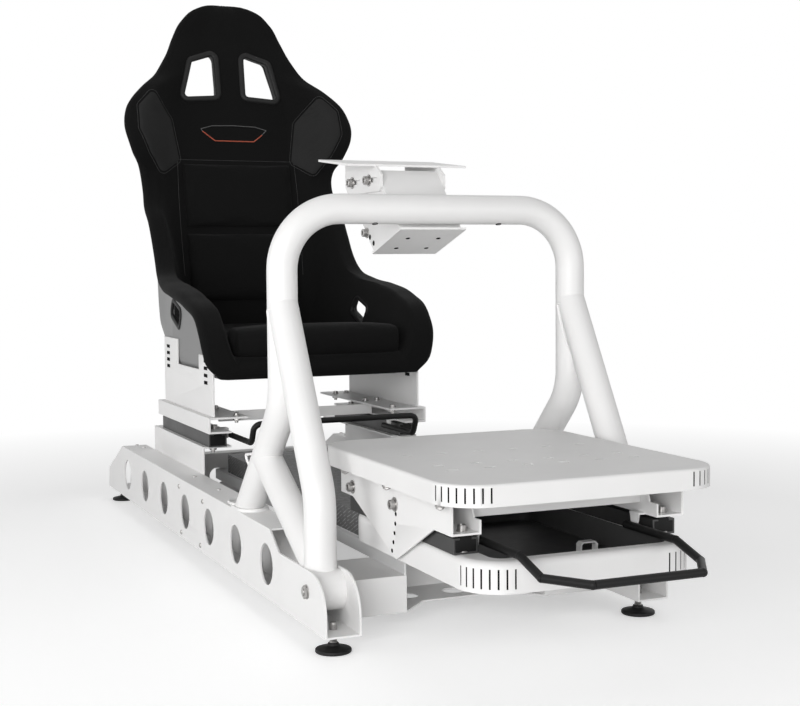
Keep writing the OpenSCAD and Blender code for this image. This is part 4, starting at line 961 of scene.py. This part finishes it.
bezels.make("slotBezels", bezelPlastic, seat["body"], "foot_plastic", 45)
print("bezels fitted")

# Pads: closed pillows, blown up with cloth pressure
blowing = {"voxel": 0.005, "frames": 20, "quality": 4, "stiffness": 14, "pressure": 4, "smooth": (0.5, 3)}


def puffed(piece, cap):  # no point moves further than the cap
    remesh = piece.modifiers.new("remesh", "REMESH")
    remesh.mode = "VOXEL"
    remesh.voxel_size = blowing["voxel"]
    baked(piece)
    start = np.empty(len(piece.data.vertices) * 3)
    piece.data.vertices.foreach_get("co", start)
    cloth = piece.modifiers.new("cloth", "CLOTH").settings
    cloth.quality = blowing["quality"]
    cloth.tension_stiffness = cloth.compression_stiffness = blowing["stiffness"]
    cloth.use_pressure = True
    cloth.uniform_pressure_force = blowing["pressure"]
    cloth.effector_weights.gravity = 0
    scene = bpy.context.scene
    for step in range(1, blowing["frames"] + 1):
        scene.frame_set(step)
    baked(piece)
    scene.frame_set(1)
    end = np.empty(len(start))
    piece.data.vertices.foreach_get("co", end)
    move = (end - start).reshape(-1, 3)
    far = np.linalg.norm(move, axis=1)
    move *= (np.minimum(far, cap / 1000) / np.maximum(far, 1e-9))[:, None]
    piece.data.vertices.foreach_set("co", start + move.ravel())
    smooth = piece.modifiers.new("smooth", "SMOOTH")
    smooth.factor, smooth.iterations = blowing["smooth"]
    piece.modifiers.new("fine", "SUBSURF").levels = 1
    return baked(piece)


groove = {"deep": 2.6, "wide": 4.5}


def grooved(piece, seams):  # presses a groove across the pillow at each seam's y
    with editing(piece.data) as work:
        work.normal_update()
        for v in work.verts:
            for y in seams:
                gap = (v.co.y - at(0, y, 0).y) * 1000 / groove["wide"]
                v.co -= v.normal * groove["deep"] / 1000 * math.exp(-gap ** 2)


def pillow(name, sections, material, nodes, cap, seams=()):
    mould = Mould()
    mould.rings([[at(*p) for p in ring] for ring in sections])
    piece = dress(mould.bare(name), None, seat["body"], "seat_fabric")
    puffed(piece, cap)
    grooved(piece, seams)
    dress(piece, material, seat["body"], "seat_fabric", 60, nodes)


def squared(angle, acrossPower, upPower):  # point of a rounded rectangle of half size 1
    c, s = math.cos(angle), math.sin(angle)
    return math.copysign(abs(c) ** acrossPower, c), math.copysign(abs(s) ** upPower, s)


cushion = {"half": 181.0, "rollFront": 829.0, "rollBack": 916.0, "rollLow": 389.0, "rollTop": 458.0,
           "rollSides": 40, "rearSides": 56, "rearRows": 44, "rearBack": 1338.0, "rearRise": 6.0,
           "rearTall": 36.0, "lift": 17, "floorTo": 1325, "floorElse": 400.0,
           "seams": (1060, 1205), "cap": 9.0}


def rollSection(x):  # rounded upright section of the front roll, drawn in towards its ends
    ends = 1 - 0.10 * abs(x / cushion["half"]) ** 6
    front, back, low, top = (cushion["roll" + end] for end in ("Front", "Back", "Low", "Top"))
    ring = []
    for k in range(cushion["rollSides"]):
        u, v = squared(2 * math.pi * k / cushion["rollSides"], 0.62, 0.62)
        ring.append((x, (front + back + (back - front) * ends * u) / 2,
                     (low + top + (top - low) * ends * v) / 2))
    return ring


rollStops = [cushion["half"] * s for s in (-1, -0.99, -0.97, *np.linspace(-0.94, 0.94, 30), 0.97, 0.99, 1)]
pillow("cushionFrontRoll", [rollSection(x) for x in rollStops], cushionCloth, ("seat_cushion",),
       cushion["cap"])


def wellHeight(y):  # height of the cover's floor under the cushion
    spot = coverSkin.ray_cast(at(0, y, lookFrom["above"]), Vector((0, 0, -1)))[0]
    return spot.z * 1000 if spot else cushion["floorElse"]


def rearSection(f):
    y = cushion["rollBack"] - 4 + f * (cushion["rearBack"] - cushion["rollBack"] + 4)
    middle = wellHeight(min(y, cushion["floorTo"])) + cushion["lift"] + cushion["rearRise"] * f
    edge = 1 - abs(2 * f - 1) ** 10
    half = (cushion["half"] - 4 - 6 * f) * (0.985 + 0.015 * edge)
    tall = cushion["rearTall"] * (0.45 + 0.55 * edge)
    ring = []
    for k in range(cushion["rearSides"]):
        u, v = squared(2 * math.pi * k / cushion["rearSides"], 0.3, 0.55)
        ring.append((half * u, y, middle + tall / 2 * v * (1 - 0.25 * abs(u) ** 5)))
    return ring


pillow("cushionRear", [rearSection(f) for f in np.linspace(0, 1, cushion["rearRows"])], cushionCloth, (),
       cushion["cap"], cushion["seams"])
backPads = {"half": 143.0, "proud": 9.0, "sunk": 6.0, "cap": 5.0, "up": 36, "across": 34,
            "pads": (("backPadLower", 494, 666, ("back_pad",)), ("backPadUpper", 672, 838, ()))}
for name, low, high, nodes in backPads["pads"]:
    sections = []
    for f in np.linspace(0, 1, backPads["up"]):
        z = low + f * (high - low)
        endFade = (1 - abs(2 * f - 1) ** 9) ** 0.5
        front, back = [], []
        for u in np.linspace(-1, 1, backPads["across"]):
            x = backPads["half"] * u * (0.988 + 0.012 * endFade)
            y = onFront(x, z)[0].y * 1000 + midLength
            lift = backPads["proud"] * endFade * (1 - abs(u) ** 9) ** 0.5 + 0.5
            front.append((x, y - lift, z))
            back.append((x, y + backPads["sunk"], z))
        sections.append(front + back[::-1])
    pillow(name, sections, seatCloth, nodes, backPads["cap"])
print("pads blown up")

# Shoulder panels in air mesh, drawn on the cover and standing just proud of it
panel = {"outline": [(211.5, 1010), (252, 968), (254, 910), (228, 856), (193, 806), (142, 840), (158, 941)],
         "round": 12.0, "proud": 1.9, "sunk": 2.0, "edgeSunk": 0.6, "rings": 16, "closeUp": 0.985, "step": 6}


def divided(path, step):  # evenly spaced points along a path, without its last
    points = []
    for a, b in zip(path, path[1:]):
        a, b = Vector(a), Vector(b)
        count = max(int((b - a).length / step), 1)
        points += [a + (b - a) * k / count for k in range(count)]
    return points


def conformed(mould, loop, side):  # a thin sheet that follows the cover
    middle = sum(loop, Vector((0, 0))) / len(loop)
    fronts, backs = [], []
    for k in range(panel["rings"] + 1):
        f = 1 - (k / panel["rings"]) * panel["closeUp"]
        lift = panel["proud"] * (1 - math.exp(-k * 1.1)) - (0 if k else panel["edgeSunk"])
        met = [onFront(side * q.x, q.y) for q in (middle + (p - middle) * f for p in loop)]
        fronts.append([spot + normal * lift / 1000 for spot, normal in met])
        backs.append([spot - normal * panel["sunk"] / 1000 for spot, normal in met])
    mould.rings(fronts[::-1] + backs)


panels = Mould()
outline = roundedLoop(panel["outline"], panel["round"], 5)
dense = divided(outline + outline[:1], panel["step"])
for side in bothSides:
    conformed(panels, dense, side)
panels.make("shoulderPanels", airMesh, seat["body"], "seat_fabric", 50)


# Sewn details that lie on the cover
def laid(path, lift=0.4, step=4.0):  # (x, z) points drawn on the front of the cover
    met = [onFront(*p) for p in (*divided(path, step), path[-1])]
    return [spot + normal * lift / 1000 for spot, normal in met]


badge = {"badgeOutline": (greyThread, 0.9, [[(-84, 921), (-56, 929), (0, 931), (56, 929), (84, 921)],
                                            [(-84, 921), (-80, 915)], [(72, 909), (84, 921)]]),
         "badgePiping": (accentThread, 1.35, [[(-80, 915), (-50, 892), (50, 892), (72, 909)]])}
for name, (material, radius, paths) in badge.items():
    trim = Mould()
    for path in paths:
        trim.swept(laid(path), radius, 10)
    trim.make(name, material, seat["body"], "seat_fabric", 60)

stitch = {"length": 3.4, "pitch": 5.0, "radius": 0.55, "lift": 0.3, "border": 3.2,
          "padSide": [(149, 846), (152, 760), (152, 640), (150, 560)], "padTop": [(-147, 843), (147, 843)]}


def stitched(mould, spots):  # a row of single stitches along a laid path
    run = 0.0
    for a, b in zip(spots, spots[1:]):
        step = (b - a).length * 1000
        while run < step:
            p = a + (b - a) * (run / step)
            d = (b - a).normalized() * stitch["length"] / 2000
            mould.swept([p - d, p - d * 0.5, p + d * 0.5, p + d], stitch["radius"], 6)
            run += stitch["pitch"]
        run -= step


thread = Mould()
for side in bothSides:
    border = [(side * p.x, p.y) for p in grown(dense, stitch["border"])]
    for path in ([(side * x, z) for x, z in stitch["padSide"]], border + border[:1]):
        stitched(thread, laid(path, stitch["lift"]))
stitched(thread, laid(stitch["padTop"], stitch["lift"]))
thread.make("seatStitches", blackThread, seat["body"], "seat_fabric", 60)
print("panels, badge trim and stitches sewn on")

# Camera, floor and light
view = {"spot": (-0.99009, -2.48001, 0.58897), "ahead": (0.39346024, 0.91762163, -0.05621022),
        "right": (0.91886313, -0.39449213, -0.00815504), "up": (0.02965773, 0.04844081, 0.99838565),
        "lens": {"lens": 62.141, "sensor_width": 36, "shift_x": 0.0018, "shift_y": -0.0164, "clip_end": 50}}
lens = bpy.data.cameras.new("photoView")
for key, value in view["lens"].items():
    setattr(lens, key, value)
camera = placed("photoView", lens)
right, up, ahead = (Vector(view[k]) for k in ("right", "up", "ahead"))
camera.matrix_world = Matrix.Translation(view["spot"]) @ Matrix((right, up, -ahead)).transposed().to_4x4()
bpy.context.scene.camera = camera

studio = {"floorReach": 30, "floorTone": 0.86, "floorGlow": 0.40, "worldTone": 0.27,
          "lamps": [("frontSoft", (-2.4, -3.6, 0.9), (0, 0, 0.45), 2.2, 122),
                    ("sideSoft", (-3.6, -0.4, 0.8), (0, 0, 0.4), 2.0, 42),
                    ("lowFill", (1.6, -3.2, 0.5), (0, 0, 0.35), 1.6, 18),
                    ("topSoft", (0.6, 0.9, 3.4), (0, 0, 0), 2.6, 12)]}
floor = Mould()
reach = studio["floorReach"]
floor.add([(-reach, -reach, 0), (reach, -reach, 0), (reach, reach, 0), (-reach, reach, 0)], [(0, 1, 2, 3)])
ground = floor.bare("studioFloor")
white = (1, 1, 1, 1)
s = Shade("studioFloor", Specular_IOR_Level=0.0)
x, y, z = s.axes()
away = (x * x + y * y).maths("SQRT")
fade = s.ramp(away * 0.25, (0.30, 0.0), (0.62, 1.0))  # the floor runs out to white
tone = s.noise(3, 2) * 0.01 + (studio["floorTone"] - 0.005)
s.feed(Base_Color=tone, Roughness=s.noise(5, 2) * 0.05 + 0.9)
glow = s.add("ShaderNodeEmission", None, {"Color": white, "Strength": 1.0})
lift = s.add("ShaderNodeEmission", None, {"Color": white, "Strength": studio["floorGlow"]})
coat = Sock(s, s.surface.outputs[0])
lit = s.add("ShaderNodeAddShader", None, {0: coat, 1: lift})
shown = s.add("ShaderNodeMixShader", None, {0: fade, 1: lit, 2: glow})
shown = s.add("ShaderNodeMixShader", None, {0: s.seenDirectly(), 1: coat, 2: shown})
s.link(shown, "Material Output", "Surface")
ground.data.materials.append(s.material)

world = bpy.data.worlds.new("studioWorld")
bpy.context.scene.world = world
sky = Nodes(world)
tone = sky.add("ShaderNodeMix", {"data_type": "RGBA"},
               {0: sky.seenDirectly(), 6: grey(studio["worldTone"]), 7: white}, 2)
sky.link(tone, "Background", "Color")
for name, spot, target, size, power in studio["lamps"]:
    lamp = bpy.data.lights.new(name, "AREA")
    lamp.size = size
    lamp.energy = power
    holder = placed(name, lamp)
    holder.location = spot
    holder.rotation_euler = (Vector(target) - Vector(spot)).to_track_quat("-Z", "Y").to_euler()
bpy.context.scene.view_settings.view_transform = "Standard"
print("camera and light set")
